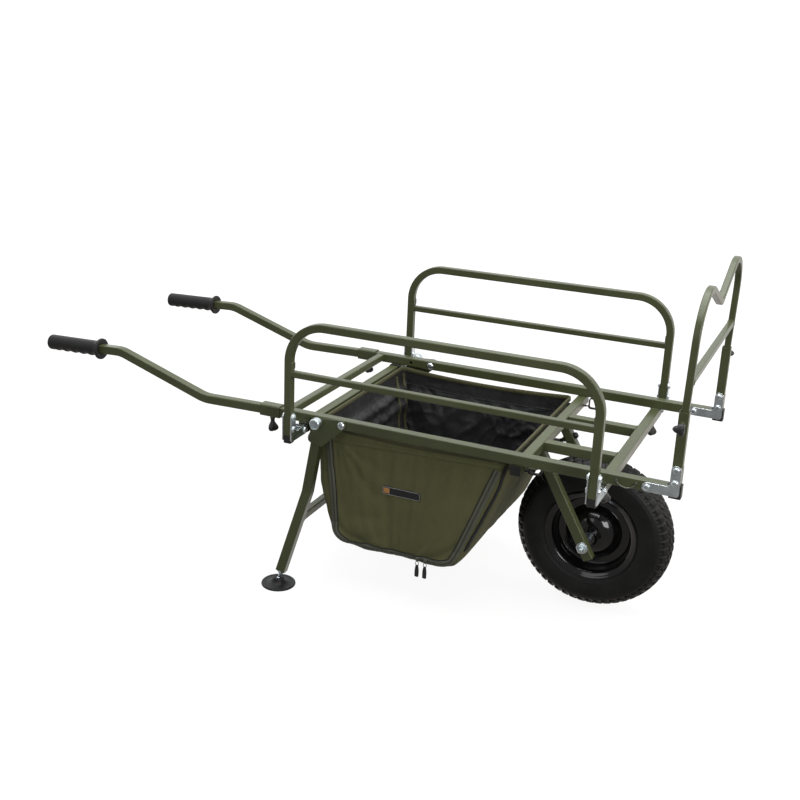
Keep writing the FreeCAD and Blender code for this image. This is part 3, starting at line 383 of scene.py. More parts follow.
# A slot of the record for each CAD node, and finishes of the new pieces.
MATERIALS = {
    "olive_paint": olive_paint(),
    "zinc_steel": zinc_steel(),
    "black_plastic": mottled("black_plastic", grey(0.009), grey(0.016), 0.42, (22.0, 3.0), (0.34, 0.5),
                             (1300.0, 2.0, 0.6, 0.0002, 0.15), specular=0.45),
    "gloss_black_paint": gloss_black(),
    "foot_plastic": mottled("foot_plastic", grey(0.010), grey(0.016), 0.5, (26.0, 3.0), (0.40, 0.55),
                            (1100.0, 2.0, 0.6, 0.0002, 0.12), specular=0.22),
    "tyre_rubber": tyre_rubber(),
    "soft_rubber": soft_rubber("soft_rubber", grey(0.010), grey(0.016), 0.55),
    "grip_rubber": soft_rubber("grip_rubber", grey(0.009), (0.015, 0.0145, 0.0145), 0.6),
    "badge_rubber": soft_rubber("badge_rubber", (0.010, 0.010, 0.011), (0.017, 0.017, 0.018), 0.45),
    "olive_fabric": woven("olive_fabric", (0.094, 0.094, 0.043), (0.117, 0.115, 0.054), 0.78, 1.3 * MM,
                          0.0005,
                          sheen=0.03, specular=0.15),
    "black_webbing": woven("black_webbing", (0.012, 0.012, 0.013), (0.020, 0.020, 0.021), 0.7, 2.2 * MM,
                           0.0009,
                           sheen=0.02, crease=0.1, specular=0.2),
}
MATERIALS["dark_metal"] = MATERIALS["zinc_steel"]
MATERIALS["bearing_steel"] = mottled("bearing_steel", grey(0.10), grey(0.17), 0.32, (60.0, 3.0), (0.25, 0.4),
                                     (500.0, 2.0, 0.5, 0.0002, 0.1), metallic=1.0)
MATERIALS["zip_tab"] = MATERIALS["black_plastic"]
lining_cloth = woven("lining_cloth", (0.014, 0.014, 0.015), (0.024, 0.024, 0.025), 0.45, 0.9 * MM, 0.0003,
                     sheen=0.02, crease=0.7, specular=0.4)
binding_cloth = woven("binding_cloth", (0.052, 0.052, 0.024), (0.072, 0.070, 0.034), 0.7, 1.6 * MM, 0.0005,
                      sheen=0.03, crease=0.1, specular=0.2)
zip_cloth = woven("zip_cloth", (0.084, 0.088, 0.064), (0.112, 0.117, 0.088), 0.6, 1.8 * MM, 0.0006,
                  sheen=0.03,
                  crease=0.1, specular=0.3)
teeth_cloth = woven("teeth_cloth", (0.040, 0.041, 0.030), (0.058, 0.060, 0.044), 0.5, 1.8 * MM, 0.0003,
                    sheen=0.02,
                    crease=0.1, specular=0.35)
tan_rubber = soft_rubber("tan_rubber", (0.33, 0.16, 0.045), (0.42, 0.21, 0.07), 0.5)
grey_rubber = soft_rubber("grey_rubber", grey(0.26), grey(0.34), 0.5)
# Plated wire with an olive-grey passivated skin, for the tie loops and the zip's sliders.
dull_wire = mottled("dull_wire", (0.10, 0.11, 0.08), (0.20, 0.21, 0.17), 0.42, (90.0, 4.0), (0.34, 0.52),
                    (800.0, 2.0, 0.5, 0.0002, 0.15), metallic=0.8)
DRESSED = {"tie_loops": dull_wire}


def dress_nodes():
    """Every CAD node takes the material of its slot."""
    for entry in frame["record"]["subparts"]:
        node = frame["nodes"][entry["node"]]
        node.data.materials.clear()
        node.data.materials.append(DRESSED.get(entry["node"], MATERIALS[entry["material_slot"]]))


# ---------------------------------------------------------------- thumb screws
def thumb_knob(name, body, node, face, outward):
    """A three-lobed teardrop knob on a threaded stud, standing off a tube's face."""
    low, high = 9 * MM, 42 * MM
    outline = [(0.0, 0.0), (4.6, 0.0), (5.4, 0.4), (5.6, 2.0), (5.2, 4.0), (5.6, 7.0), (7.2, 10.0),
               (9.4, 14.0),
               (11.6, 18.0), (12.9, 22.0), (12.8, 25.0), (11.6, 28.0), (9.0, 30.6), (5.4, 32.2)]

    def lobes(angle, height):
        share = min(1.0, max(0.0, (height - low - 5 * MM) / (13 * MM)))
        swell = math.cos(3 * angle) * 0.17 + max(0.0, math.cos(3 * angle)) ** 4 * 0.05
        return 1.0 + share * swell - share * 0.04

    profile = [(r * MM, low + h * MM) for r, h in outline] + [(2.0 * MM, high)]
    knob = joined(name, [turned(profile, face, outward, 72, lobes)])
    place(knob, MATERIALS["black_plastic"], body, "black_plastic", node)
    crests = 26
    thread = [((3.0 if k % 2 else 2.55) * MM, -2 * MM + k * 13 * MM / (crests * 2))
              for k in range(crests * 2 + 1)]
    stud = joined(name + "_stud", [turned(thread, face, outward, 20)])
    place(stud, MATERIALS["zinc_steel"], body, "zinc_steel")


def thumb_knobs():
    for kind in ("handle_knob", "front_knob", "gate_knob_rear", "gate_knob_front", "fork_knob"):
        for side, _ in SIDES:
            joint = joints["%s_%s_turn" % (kind, side)]
            face = Vector(joint["pos_m"])
            outward = Vector(joint["axis"]).normalized()
            if kind == "fork_knob":
                face = face + outward * TUBE_HALF
            node = "%s_%s" % (kind, side)
            thumb_knob(node + "_piece", node + "_screw", node, face, outward)


# ---------------------------------------------------------------- grips, feet and plungers
def end_centre(node, low, high):
    """Middle of a node's vertices whose x lies between two values."""
    points = [v.co for v in frame["nodes"][node].data.vertices if low <= v.co.x <= high]
    return Vector([(min(p[k] for p in points) + max(p[k] for p in points)) / 2 for k in range(3)])


def grips():
    """Rubber grips: a round rear end, finger scallops underneath, fine rings and a dished flange."""
    for side, _ in SIDES:
        node = "grip_" + side
        low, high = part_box(node)
        rear = end_centre(node, low.x, low.x + 4 * MM)
        front = end_centre(node, high.x - 4 * MM, high.x)
        axis = (front - rear).normalized()
        length = (front - rear).length
        grip_r = 20.5 * MM
        outline = [(2 * MM, 0.0), (grip_r * 0.72, 0.4 * MM)]
        for k in range(8):
            a = math.pi / 2 * k / 7
            outline.append((grip_r * (0.76 + 0.24 * math.sin(a)), 0.6 * MM + 5.4 * MM * (1 - math.cos(a))))
        body_end = length - 22 * MM
        steps = 120
        for k in range(1, steps + 1):
            outline.append((grip_r, 6 * MM + (body_end - 6 * MM) * k / steps))
        for r, h in ((20.9, 20), (21.6, 16.5), (23.4, 13.5), (26.4, 11), (28.2, 9), (28.6, 6.5), (28.4, 4.5),
                     (27.2, 3.2), (24.5, 3.0), (21.0, 3.6), (18.5, 4.4), (16.8, 5.0)):
            outline.append((r * MM, length - h * MM))
        side_dir, up_dir = basis(axis)
        down_angle = math.atan2(-up_dir.z, -side_dir.z)
        start = 16 * MM
        pitch = (body_end - start) / 5

        def scallop(angle, height):
            if height < start or height > body_end:
                return 1.0
            under = max(0.0, math.cos(angle - down_angle)) ** 1.2
            wave = 0.5 - 0.5 * math.cos(2 * math.pi * (height - start) / pitch)
            ring = 0.006 * math.cos(2 * math.pi * height / (3.2 * MM)) * (1 - under)
            return 1.0 - 0.13 * (1 - wave) * under + 0.04 * under + ring

        piece = joined(node + "_piece", [turned(outline, rear, axis, 80, scallop)])
        place(piece, MATERIALS["grip_rubber"], "handle_bar_" + side, "grip_rubber", node)


def feet():
    """Shallow moulded discs with a raised lip and a swivel neck."""
    # (share of the disc's radius, height in mm), from the underside round the lip and up the neck
    outline = ((0.93, 0.0), (0.985, 0.5), (1.0, 2.0), (0.985, 4.6), (0.955, 5.8), (0.92, 5.9), (0.88, 5.2),
               (0.80, 5.0),
               (0.62, 6.2), (0.47, 8.6), (0.38, 12.0), (0.34, 15.0), (0.33, 18.6), (0.30, 20.4), (0.22, 20.9),
               (0.18, 19.0))
    for side, _ in SIDES:
        node = "foot_" + side
        low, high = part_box(node)
        base = Vector(((low.x + high.x) / 2, (low.y + high.y) / 2, low.z))
        reach = (high.x - low.x) / 2
        profile = [(reach * share, h * MM) for share, h in outline]
        pad = joined(node + "_piece", [turned(profile, base, UP, 96)])
        place(pad, MATERIALS["foot_plastic"], "foot_pad_" + side, "black_plastic", node)


def plungers():
    """Bright knurled pull knobs on the locking pins."""
    for side, sign in SIDES:
        node = "release_plunger_" + side
        low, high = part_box(node)
        axis = Y * sign
        inner = low.y if sign > 0 else high.y
        outer = high.y if sign > 0 else low.y
        start = Vector(((low.x + high.x) / 2, inner, (low.z + high.z) / 2))
        length = abs(outer - inner)
        neck = length - 22.7 * MM
        outline = [(4.0, 0.0), (4.0, neck), (10.4, neck + 0.2), (11.6, neck + 1.0), (13.5, neck + 2.2),
                   (13.9, neck + 3.0)]
        profile = [(r * MM, h if h <= neck else neck + (h - neck) * MM) for r, h in outline]
        for k in range(1, 25):
            profile.append((13.9 * MM, neck + 3 * MM + 15.5 * MM * k / 24))
        for r, h in ((13.6, 19.2), (12.6, 20.6), (11.0, 21.6), (10.2, 21.4), (9.4, 21.0), (0.5, 21.2)):
            profile.append((r * MM, neck + h * MM))

        def knurl(angle, height):
            if height < neck + 3.2 * MM or height > neck + 18.2 * MM:
                return 1.0
            turn = angle * 34 / 2
            rise = (height - neck) * 520
            return 1.0 + 0.016 * (abs(math.sin(turn + rise)) + abs(math.sin(turn - rise)) - 1.1)

        knob = joined(node + "_piece", [turned(profile, start, axis, 204, knurl)])
        place(knob, MATERIALS["zinc_steel"], "locking_pin_" + side, "zinc_steel", node)


# ---------------------------------------------------------------- tyre
def tyre_section():
    """(radius, across, outward normal, tread share, wall share) from one bead over the crown to the other."""
    points = []
    bead = Vector((0.110, 0.0395))
    wall_low = Vector((0.119, 0.042))
    crown_centre, crown_r = 0.1458, 0.0542
    edge = 56.0
    half = [(bead, 0.0, 0.0), ((bead + wall_low) / 2, 0.0, 0.2), (wall_low, 0.0, 0.5)]
    shoulder = Vector((crown_centre + crown_r * math.cos(math.radians(edge)),
                       crown_r * math.sin(math.radians(edge))))
    bulge = Vector((0.150, 0.050))
    steps = 20
    for k in range(1, steps):
        t = k / steps
        point = wall_low * (1 - t) ** 2 + (bulge * 2 - (wall_low + shoulder) / 2) * 2 * t * (1 - t) + shoulder * t * t
        half.append((point, 0.0, 1.0))
    arcs = 34
    for k in range(arcs + 1):
        a = math.radians(edge) * (1 - k / arcs)
        half.append((Vector((crown_centre + crown_r * math.cos(a), crown_r * math.sin(a))), 1.0, 0.0))
    for point, tread, wall in half:
        points.append((point.x, point.y, tread, wall))
    for point, tread, wall in reversed(half[:-1]):
        points.append((point.x, -point.y, tread, wall))
    return points


def tread_height(angle, across):
    """Share of full height at a place on the tread: two staggered rows of blocks and shoulder lugs."""
    pitches = 54
    turn = angle * pitches / (2 * math.pi)
    side = 1 if across > 0 else -1
    u = abs(across)

    def block(along, low, high, share, skew=0.0):
        phase = (along + skew * (u - low) / (high - low)) % 1.0
        across_in = min(u - low, high - u) / 0.0009
        along_in = min(phase, share - phase) / 0.06 if phase < share else -1.0
        return max(0.0, min(1.0, across_in, along_in))

    stagger = 0.5 if side > 0 else 0.0
    middle = block(turn + stagger, 0.0010, 0.0115, 0.74, 0.30)
    second = block(turn + stagger + 0.45, 0.0130, 0.0235, 0.70, -0.30)
    lug = block(turn + stagger + 0.30, 0.0250, 0.0400, 0.66, 0.15)
    rib = 0.55 * block(turn * 2 + stagger, 0.0400, 0.0450, 0.45)
    return max(middle, second, lug, rib)


def tyre():
    """Carcass with moulded block tread, concentric wall ridges and short radial scrubbers."""
    low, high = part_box("tyre")
    centre = (low + high) / 2
    section = tyre_section()
    depth = 3.6 * MM
    around = 972
    normals = []
    for i in range(len(section)):
        before = section[max(i - 1, 0)]
        after = section[min(i + 1, len(section) - 1)]
        along = Vector((after[0] - before[0], after[1] - before[1])).normalized()
        normals.append(Vector((along.y, -along.x)))
    rows = []
    for k in range(around):
        angle = 2 * math.pi * k / around
        row = []
        for (r, across, tread, wall), normal in zip(section, normals):
            out = normal if normal.x * (r - 0.13) + normal.y * across > 0 else -normal
            lift = 0.0
            shoulder = min(1.0, max(0.0, (r - 0.170) / 0.010))
            if tread:
                lift = -depth * shoulder * (1.0 - tread_height(angle, across))
            if wall >= 1.0:
                ridge = sum(math.exp(-((r - at) / 0.0011) ** 2) for at in (0.1245, 0.1290, 0.1640))
                lift += 0.0009 * ridge
            reach = r + out.x * lift
            y = across + out.y * lift
            row.append(centre + Vector((math.cos(angle) * reach, y, math.sin(angle) * reach)))
        rows.append(row)
    verts, faces, _ = strip(rows, closed_rows=True)
    width = len(section)
    for k in range(around):
        j = (k + 1) % around
        faces.append((k * width + width - 1, k * width, j * width, j * width + width - 1))
    piece = new_mesh("tyre_piece", verts, faces)
    place(piece, MATERIALS["tyre_rubber"], "wheel", "tyre_rubber", "tyre")


# ---------------------------------------------------------------- rim
# (radius, distance from the middle plane) in mm
RIM_FACE = ((22.0, 40.5), (34.0, 39.0), (46.0, 34.0), (57.0, 25.0), (65.0, 14.0), (70.5, 5.6), (76.0, 3.6),
            (88.0, 3.2),
            (92.5, 6.0), (95.0, 13.0), (97.3, 24.0), (99.0, 32.0), (102.0, 38.2), (107.5, 41.6),
            (112.0, 43.6),
            (115.0, 45.0), (117.4, 44.8))


def rim():
    """The pressed steel rim: a domed centre, a flat ring, a deep barrel and a rolled flange on each side."""
    low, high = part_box("rim")
    centre = (low + high) / 2
    face = smooth_line([Vector((r * MM, 0, h * MM)) for r, h in RIM_FACE], 6)
    under_tyre = ((117.0, 43.0), (112.0, 41.0), (104.0, 35.0), (98.5, 6.0), (98.0, 0.0))
    half = [(p.x, p.z) for p in face + [Vector((r * MM, 0, h * MM)) for r, h in under_tyre]]
    profile = [(r, -h) for r, h in half] + [(r, h) for r, h in reversed(half[:-1])]
    piece = joined("rim_pressing", [turned(profile, centre, Y, 160)])
    place(piece, MATERIALS["gloss_black_paint"], "wheel", "gloss_black_paint", "rim")


# ---------------------------------------------------------------- weld beads
def bead(path, closed, width, seed):
    """A weld bead: a thin roll with overlapping ripples and a slightly uneven width."""
    rng = random.Random(seed)
    phase = rng.random() * 6
    total = sum((path[i + 1] - path[i]).length for i in range(len(path) - 1))
    count = max(8, int(total / (1.1 * MM)))
    line = resampled(path, count, closed)
    rows = []
    ring = 8
    for i, point in enumerate(line):
        nxt = line[(i + 1) % len(line)] if closed or i + 1 < len(line) else point
        before = line[i - 1] if closed or i else point
        along = (nxt - before).normalized()
        side, up = basis(along)
        swell = width * (1.0 + 0.16 * math.sin(i * 1.9 + phase) + 0.08 * math.sin(i * 0.37 + phase))
        if not closed and i in (0, len(line) - 1):
            swell *= 0.45
        rows.append([point + (side * math.cos(2 * math.pi * k / ring) + up * math.sin(2 * math.pi * k / ring)) * swell
                     for k in range(ring)])
    verts, faces, _ = strip(rows, closed_rows=closed, closed_across=True)
    return verts, faces, None


def resampled(path, count, closed=False):
    """Evenly spaced points along a polyline."""
    points = list(path) + ([path[0]] if closed else [])
    lengths = [0.0]
    for a, b in zip(points, points[1:]):
        lengths.append(lengths[-1] + (b - a).length)
    out = []
    i = 0
    for k in range(count if closed else count + 1):
        at = lengths[-1] * k / count
        while i < len(points) - 2 and lengths[i + 1] < at:
            i += 1
        span = lengths[i + 1] - lengths[i]
        out.append(points[i].lerp(points[i + 1], (at - lengths[i]) / span if span else 0.0))
    return out


def square_ring(centre, axis, half, corner):
    """A closed rounded square around axis."""
    side, up = basis(axis)
    path = []
    for turn in range(4):
        a = [side, up, -side, -up][turn]
        b = [up, -side, -up, side][turn]
        for k in range(5):
            angle = math.pi / 2 * k / 4
            mid = half - corner
            path.append(centre + a * mid + b * mid + a * corner * math.cos(angle) + b * corner * math.sin(angle))
    return path


def weld_group(name, body, rings=(), lines=(), width=1.5 * MM):
    parts = []
    for index, (centre, axis, half) in enumerate(rings):
        parts.append(bead(square_ring(Vector(centre), Vector(axis), half, 2.6 * MM), True, width, index))
    for index, (start, end) in enumerate(lines):
        parts.append(bead([Vector(start), Vector(end)], False, width, 100 + index))
    place(joined(name, parts), MATERIALS["olive_paint"], body, "olive_paint")


def welds():
    """Beads where each tube is welded to the next."""
    frame_rings, frame_lines = [], []
    low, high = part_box("rear_cross_bar")
    middle = (low + high) / 2
    for sign in (-1, 1):
        frame_rings.append(((middle.x, sign * (high.y - 0.3 * MM), middle.z), Y, (high.z - low.z) / 2))
    rail_low, rail_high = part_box("side_rail_left")
    for node in ("lower_cross_tube_rear", "lower_cross_tube_middle", "lower_cross_tube_front"):
        low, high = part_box(node)
        x = high.x - TUBE_HALF if node.endswith("middle") else (low.x + high.x) / 2
        for sign in (-1, 1):
            for edge in (-1, 1):
                at = x + edge * 12.3 * MM
                inner, outer = sign * (rail_low.y + 1 * MM), sign * (rail_high.y - 1 * MM)
                frame_lines.append(((at, inner, rail_low.z - 0.6 * MM), (at, outer, rail_low.z - 0.6 * MM)))
                face = rail_low.y if edge < 0 else rail_high.y
                frame_lines.append(((x - 10 * MM, sign * face, rail_low.z),
                                    (x + 10 * MM, sign * face, rail_low.z)))
    low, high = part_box("wheel_rails")
    for sign in (-1, 1):
        y = sign * (high.y - TUBE_HALF)
        for x in (low.x + 0.3 * MM, high.x - 0.3 * MM):
            frame_rings.append(((x, y, (low.z + high.z) / 2), X, TUBE_HALF))
    weld_group("frame_welds", "frame", frame_rings, frame_lines)
    for side, sign in SIDES:
        low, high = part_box("gate_frame_" + side)
        y = (low.y + high.y) / 2
        bar = 8 * MM
        z = gate_bar_height("gate_frame_" + side)
        rings = [((x, y, z), X, bar) for x in (low.x + 20.2 * MM, high.x - 20.2 * MM)]
        weld_group("gate_welds_" + side, "gate_" + side, rings, width=1.3 * MM)
    low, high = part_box("front_crossbar")
    middle = (low + high) / 2
    rings = [((middle.x, sign * (high.y - 0.2 * MM), middle.z), Y, 7.9 * MM) for sign in (-1, 1)]
    weld_group("front_bar_welds", "front_raised_bar", rings, width=1.3 * MM)
    low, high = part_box("leg_brace")
    middle = (low + high) / 2
    rings = [((middle.x, sign * (high.y - 2.5 * MM), middle.z), Y, 10 * MM) for sign in (-1, 1)]
    weld_group("brace_welds", "leg_frame", rings)


def gate_bar_height(node):
    """Middle height of the bar across a gate, from the vertices near the gate's middle."""
    low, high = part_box(node)
    middle = (low + high) / 2
    heights = [v.co.z for v in frame["nodes"][node].data.vertices
               if low.z + 60 * MM < v.co.z < high.z - 40 * MM and abs(v.co.y - middle.y) < 8.2 * MM
               and abs(v.co.z - middle.z) < 0.06]
    return (min(heights) + max(heights)) / 2 if heights else middle.z


# ---------------------------------------------------------------- bag
def tree_of(piece):
    """A ray-casting tree of a piece's mesh, in the frame."""
    mesh = piece.data
    return BVHTree.FromPolygons([v.co.copy() for v in mesh.vertices],
                                [tuple(p.vertices) for p in mesh.polygons])


BAG_LOW, BAG_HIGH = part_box("bag_shell")
CAD_BAG = tree_of(frame["nodes"]["bag_shell"])
BAG_MIDDLE = (BAG_LOW + BAG_HIGH) / 2
BAG_DEEP = BAG_HIGH.z - BAG_LOW.z
COLUMNS = (("front", 58), ("corner", 6), ("wheel_end", 46), ("corner", 6), ("back", 58), ("corner", 6),
           ("rear_end", 46),
           ("corner", 6))


def bag_sides(z):
    """The CAD bag's (rear x, front x, half width) at a height."""
    z = min(max(z, BAG_LOW.z + 1 * MM), BAG_HIGH.z - 1 * MM)
    rear = CAD_BAG.ray_cast(Vector((BAG_LOW.x - 0.1, 0, z)), X)[0].x
    front = CAD_BAG.ray_cast(Vector((BAG_HIGH.x + 0.1, 0, z)), -X)[0].x
    half = CAD_BAG.ray_cast(Vector((BAG_MIDDLE.x, BAG_HIGH.y + 0.1, z)), -Y)[0].y
    return rear, front, half


def bag_ring(rear, front, half, z, corner):
    """A rounded rectangle seen from above, in the order of COLUMNS, starting at the rear of the right side."""
    corner = min(corner, 0.49 * (front - rear))
    starts = {0: (rear + corner, -half, front - corner, -half),
              2: (front, -half + corner, front, half - corner),
              4: (front - corner, half, rear + corner, half), 6: (rear, half - corner, rear, -half + corner)}
    centres = {1: (front - corner, -half + corner, -90), 3: (front - corner, half - corner, 0),
               5: (rear + corner, half - corner, 90), 7: (rear + corner, -half + corner, 180)}
    ring = []
    for index, (kind, count) in enumerate(COLUMNS):
        for k in range(count):
            t = k / count
            if kind == "corner":
                cx, cy, first = centres[index]
                a = math.radians(first + 90 * t)
                ring.append(Vector((cx + corner * math.cos(a), cy + corner * math.sin(a), z)))
            else:
                x0, y0, x1, y1 = starts[index]
                ring.append(Vector((x0 + (x1 - x0) * t, y0 + (y1 - y0) * t, z)))
    return ring


def rim_sag(point):
    """How far the rim hangs between the cross tubes, along the two long sides."""
    share = min(1.0, max(0.0, (point.x - BAG_LOW.x) / (BAG_HIGH.x - BAG_LOW.x)))
    side = min(1.0, max(0.0, (abs(point.y) - 0.8 * BAG_HIGH.y) / (0.2 * BAG_HIGH.y)))
    return -11 * MM * math.sin(math.pi * share) ** 0.8 * side


def bag_rows():
    """Rings down the walls, round the bottom edge and in over the floor, with a pin weight for each point."""
    rows, weights, uvs = [], [], []
    bottom_r = 13 * MM
    wall_rows, floor_rows = 36, 13
    plan = []
    for k in range(wall_rows + 1):
        plan.append((BAG_HIGH.z - (BAG_DEEP - bottom_r) * k / wall_rows, 0.0, "wall"))
    for k in range(1, 5):
        a = math.pi / 2 * k / 4
        plan.append((BAG_LOW.z + bottom_r * (1 - math.sin(a)), bottom_r * (1 - math.cos(a)), "edge"))
    rear, front, half = bag_sides(BAG_LOW.z)
    inward = (front - rear) / 2 - 5 * MM
    for k in range(1, floor_rows + 1):
        plan.append((BAG_LOW.z, bottom_r + (inward - bottom_r) * k / floor_rows, "floor"))
    down = 0.0
    last_middle = None
    along = [0.0]
    top = bag_ring(*bag_sides(BAG_HIGH.z), BAG_HIGH.z, BAG_CORNER)
    for a, b in zip(top, top[1:]):
        along.append(along[-1] + (b - a).length)
    for level, (z, inset, kind) in enumerate(plan):
        rear, front, half = bag_sides(z)
        ring = bag_ring(rear + inset, front - inset, half - inset, z, BAG_CORNER + inset * 0.4)
        fade = max(0.0, 1 - (BAG_HIGH.z - z) / 0.12)
        ring = [p + UP * rim_sag(p) * fade ** 1.5 for p in ring]
        if last_middle is not None:
            down += (ring[20] - last_middle).length
        last_middle = ring[20]
        column = 0
        for index, (part, count) in enumerate(COLUMNS):
            for k in range(count):
                if level == 0:
                    weight = 1.0
                elif kind == "wall":
                    seam = 0.35 if part == "corner" else max(0.0, 0.30 - 0.10 * min(k, count - k))
                    weight = max(seam, 0.75 - 0.35 * level)
                elif kind == "edge":
                    weight = 0.4
                else:
                    weight = 0.0
                weights.append(max(0.0, weight))
                uvs.append((along[column], down))
                column += 1
        rows.append(ring)
    return rows, weights, uvs


def settle(piece, weights, frames):
    """Let the cloth hang from its rim and seams."""
    scene = bpy.context.scene
    pins = piece.vertex_groups.new(name="pins")
    for index, weight in enumerate(weights):
        if weight > 0:
            pins.add([index], weight, "REPLACE")
    cloth = piece.modifiers.new("cloth", "CLOTH")
    rules = cloth.settings
    rules.quality = 6
    rules.mass = 0.25
    rules.tension_stiffness = 18
    rules.compression_stiffness = 12
    rules.shear_stiffness = 6
    rules.bending_stiffness = 0.8
    rules.air_damping = 3
    rules.vertex_group_mass = "pins"
    rules.pin_stiffness = 1.2
    rules.shrink_min = -0.014
    cloth.collision_settings.use_collision = False
    cloth.collision_settings.use_self_collision = False
    cloth.point_cache.frame_start = 1
    cloth.point_cache.frame_end = frames
    for number in range(1, frames + 1):
        scene.frame_set(number)
    apply_modifiers(piece)
    scene.frame_set(1)


def keep_near(piece, base, reach):
    """Pull back every point that went further than reach from its base."""
    for vertex, home in zip(piece.data.vertices, base):
        drift = vertex.co - home
        if drift.length > reach:
            vertex.co = home + drift * (reach / drift.length)
        vertex.co.y = max(-BAG_HIGH.y - 2.5 * MM, min(BAG_HIGH.y + 2.5 * MM, vertex.co.y))


def slumped(point):
    """Slack of thin cloth before it is simulated: broad swells that fade out at the rim."""
    p = Vector((point.x * 9, point.y * 9, point.z * 5))
    broad = noise.noise(p) * 2.6 + noise.noise(p * 2.7 + Vector((4, 1, 7))) * 1.2
    return broad * MM * min(1.0, (BAG_HIGH.z - point.z) / 0.05)


def pulled(point):
    """Folds of a side panel that the simulation misses: slanting bands, and creases that fan out from the rear top corner."""
    slant = math.radians(27)
    run = point.x * math.cos(slant) + point.z * math.sin(slant)
    cross = point.z * math.cos(slant) - point.x * math.sin(slant)
    bands = 5.5 * noise.noise(Vector((run * 4.5, cross * 15, 3.7)))
    dx = point.x - (BAG_LOW.x + 0.060)
    dz = BAG_HIGH.z - 0.030 - point.z
    reach = math.hypot(dx, dz)
    angle = math.atan2(dz, dx)
    fade = math.exp(-reach / 0.11) * min(1.0, reach / 0.03)
    drift = noise.noise(Vector((dx * 6, dz * 6, 1)))
    fan = 9.0 * fade * math.sin(8.0 * angle + 3 * drift) * max(0.0, math.cos(angle - 0.8))
    return (bands + fan) * MM * min(1.0, max(0.0, BAG_HIGH.z - point.z) / 0.06)


def bag_outside():
    rows, weights, uvs = bag_rows()
    verts, faces, _ = strip(rows, closed_across=True)
    width = len(rows[0])
    last = (len(rows) - 1) * width
    half = width // 2
    for k in range(half - 1):
        faces.append((last + k, last + k + 1, last + width - 2 - k, last + width - 1 - k))
    faces = [tuple(reversed(face)) for face in faces]
    piece = new_mesh("bag_outside", verts, faces, uvs)
    base = []
    for vertex in piece.data.vertices:
        vertex.co = vertex.co + vertex.normal * slumped(vertex.co)
        base.append(vertex.co.copy())
    settle(piece, weights, 26)
    keep_near(piece, base, 11 * MM)
    for vertex, home in zip(piece.data.vertices, base):
        if abs(home.y) > 0.95 * BAG_HIGH.y:
            vertex.co.y += math.copysign(pulled(home), home.y)
    finer = piece.modifiers.new("finer", "SUBSURF")
    finer.levels = 1
    finer.render_levels = 1
    apply_modifiers(piece)
    piece.data.polygons.foreach_set("use_smooth", [True] * len(piece.data.polygons))
    return piece


def crumple(point):
    """Sharp folds and dents of a thin lining, 0 to 1."""
    p = Vector((point.x * 8, point.y * 8, point.z * 12))
    bend = Vector((noise.noise(p * 0.6), noise.noise(p * 0.6 + Vector((9, 2, 5))),
                   noise.noise(p * 0.6 + Vector((1, 8, 3)))))
    q = p + bend * 1.3
    sharp = 1 - abs(noise.noise(q)) * 2.4
    finer = 1 - abs(noise.noise(q * 2.3 + Vector((3, 3, 3)))) * 2.4
    return max(0.0, 0.65 * max(0.0, sharp) ** 2 + 0.35 * max(0.0, finer) ** 2)


def bag_lining(outside):
    """A dark nylon lining inside the outer cloth: flat under the hem, then loose and creased."""
    piece = outside.copy()
    piece.data = outside.data.copy()
    piece.name = "bag_lining"
    bpy.context.scene.collection.objects.link(piece)
    normals = [v.normal.copy() for v in outside.data.vertices]
    for vertex, normal in zip(piece.data.vertices, normals):
        depth = BAG_HIGH.z + rim_sag(vertex.co) - vertex.co.z
        loose = min(1.0, max(0.0, (depth - 0.036) / 0.03))
        inward = 3.0 * MM + loose * (1.5 * MM + 9 * MM * crumple(vertex.co))
        rear_wall = max(0.0, -normal.x)
        drift = 0.012 * noise.noise(Vector((vertex.co.y * 5, 1.5, 0.3)))
        roll = math.exp(-((depth - 0.058 - drift) / 0.014) ** 2) + 0.85 * math.exp(-((depth - 0.100 - drift) / 0.017) ** 2)
        wobble = 0.75 + 0.5 * noise.noise(Vector((vertex.co.y * 7, depth * 5, 2)))
        inward += 17 * MM * roll * rear_wall ** 3 * wobble
        if abs(normal.y) > 0.7 or abs(normal.x) > 0.7 or normal.z < -0.3:
            vertex.co = vertex.co - normal * inward
        else:
            vertex.co = vertex.co - normal * min(inward, 5 * MM)
    piece.data.update()
    piece.data.polygons.foreach_set("use_smooth", [True] * len(piece.data.polygons))
    return piece


def flatten_with_legs(piece):
    """Gives the piece a mesh of its own."""
    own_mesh(piece)


def outward_flat(points):
    """Level outward directions round a closed ring that runs anticlockwise."""
    count = len(points)
    out = []
    for i in range(count):
        along = points[(i + 1) % count] - points[i - 1]
        out.append(Vector((along.y, -along.x, 0)).normalized())
    return out


def stuck(tree, points, direction, lift):
    """Points moved along a direction onto a surface and lifted off it, with the surface normals."""
    direction = Vector(direction).normalized()
    line, normals = [], []
    for point in points:
        where, normal, _, _ = tree.ray_cast(Vector(point) - direction * 0.25, direction)
        if where is None:
            continue
        if normal.dot(direction) > 0:
            normal = -normal
        line.append(where + normal * lift)
        normals.append(normal)
    eased = [sum((normals[max(0, min(len(normals) - 1, i + k))] for k in range(-2, 3)), Vector()).normalized()
             for i in range(len(normals))]
    return line, eased


def hung(piece, material, slot, *nodes):
    """Place a piece of the bag on the frame, with a mesh of its own."""
    place(piece, material, "frame", slot, *nodes)
    flatten_with_legs(piece)


def tape(name, line, normals, width, thick, material, closed=False):
    """A band sewn to the bag."""
    band = joined(name, [swept(line, tape_section(width, thick), closed, lambda i: normals[i])])
    hung(band, material, "olive_fabric")


def sagging_ring(z):
    """The bag's outline at a height near its rim, hanging between the cross tubes."""
    return [p + UP * rim_sag(p) for p in bag_ring(*bag_sides(z), z, BAG_CORNER)]


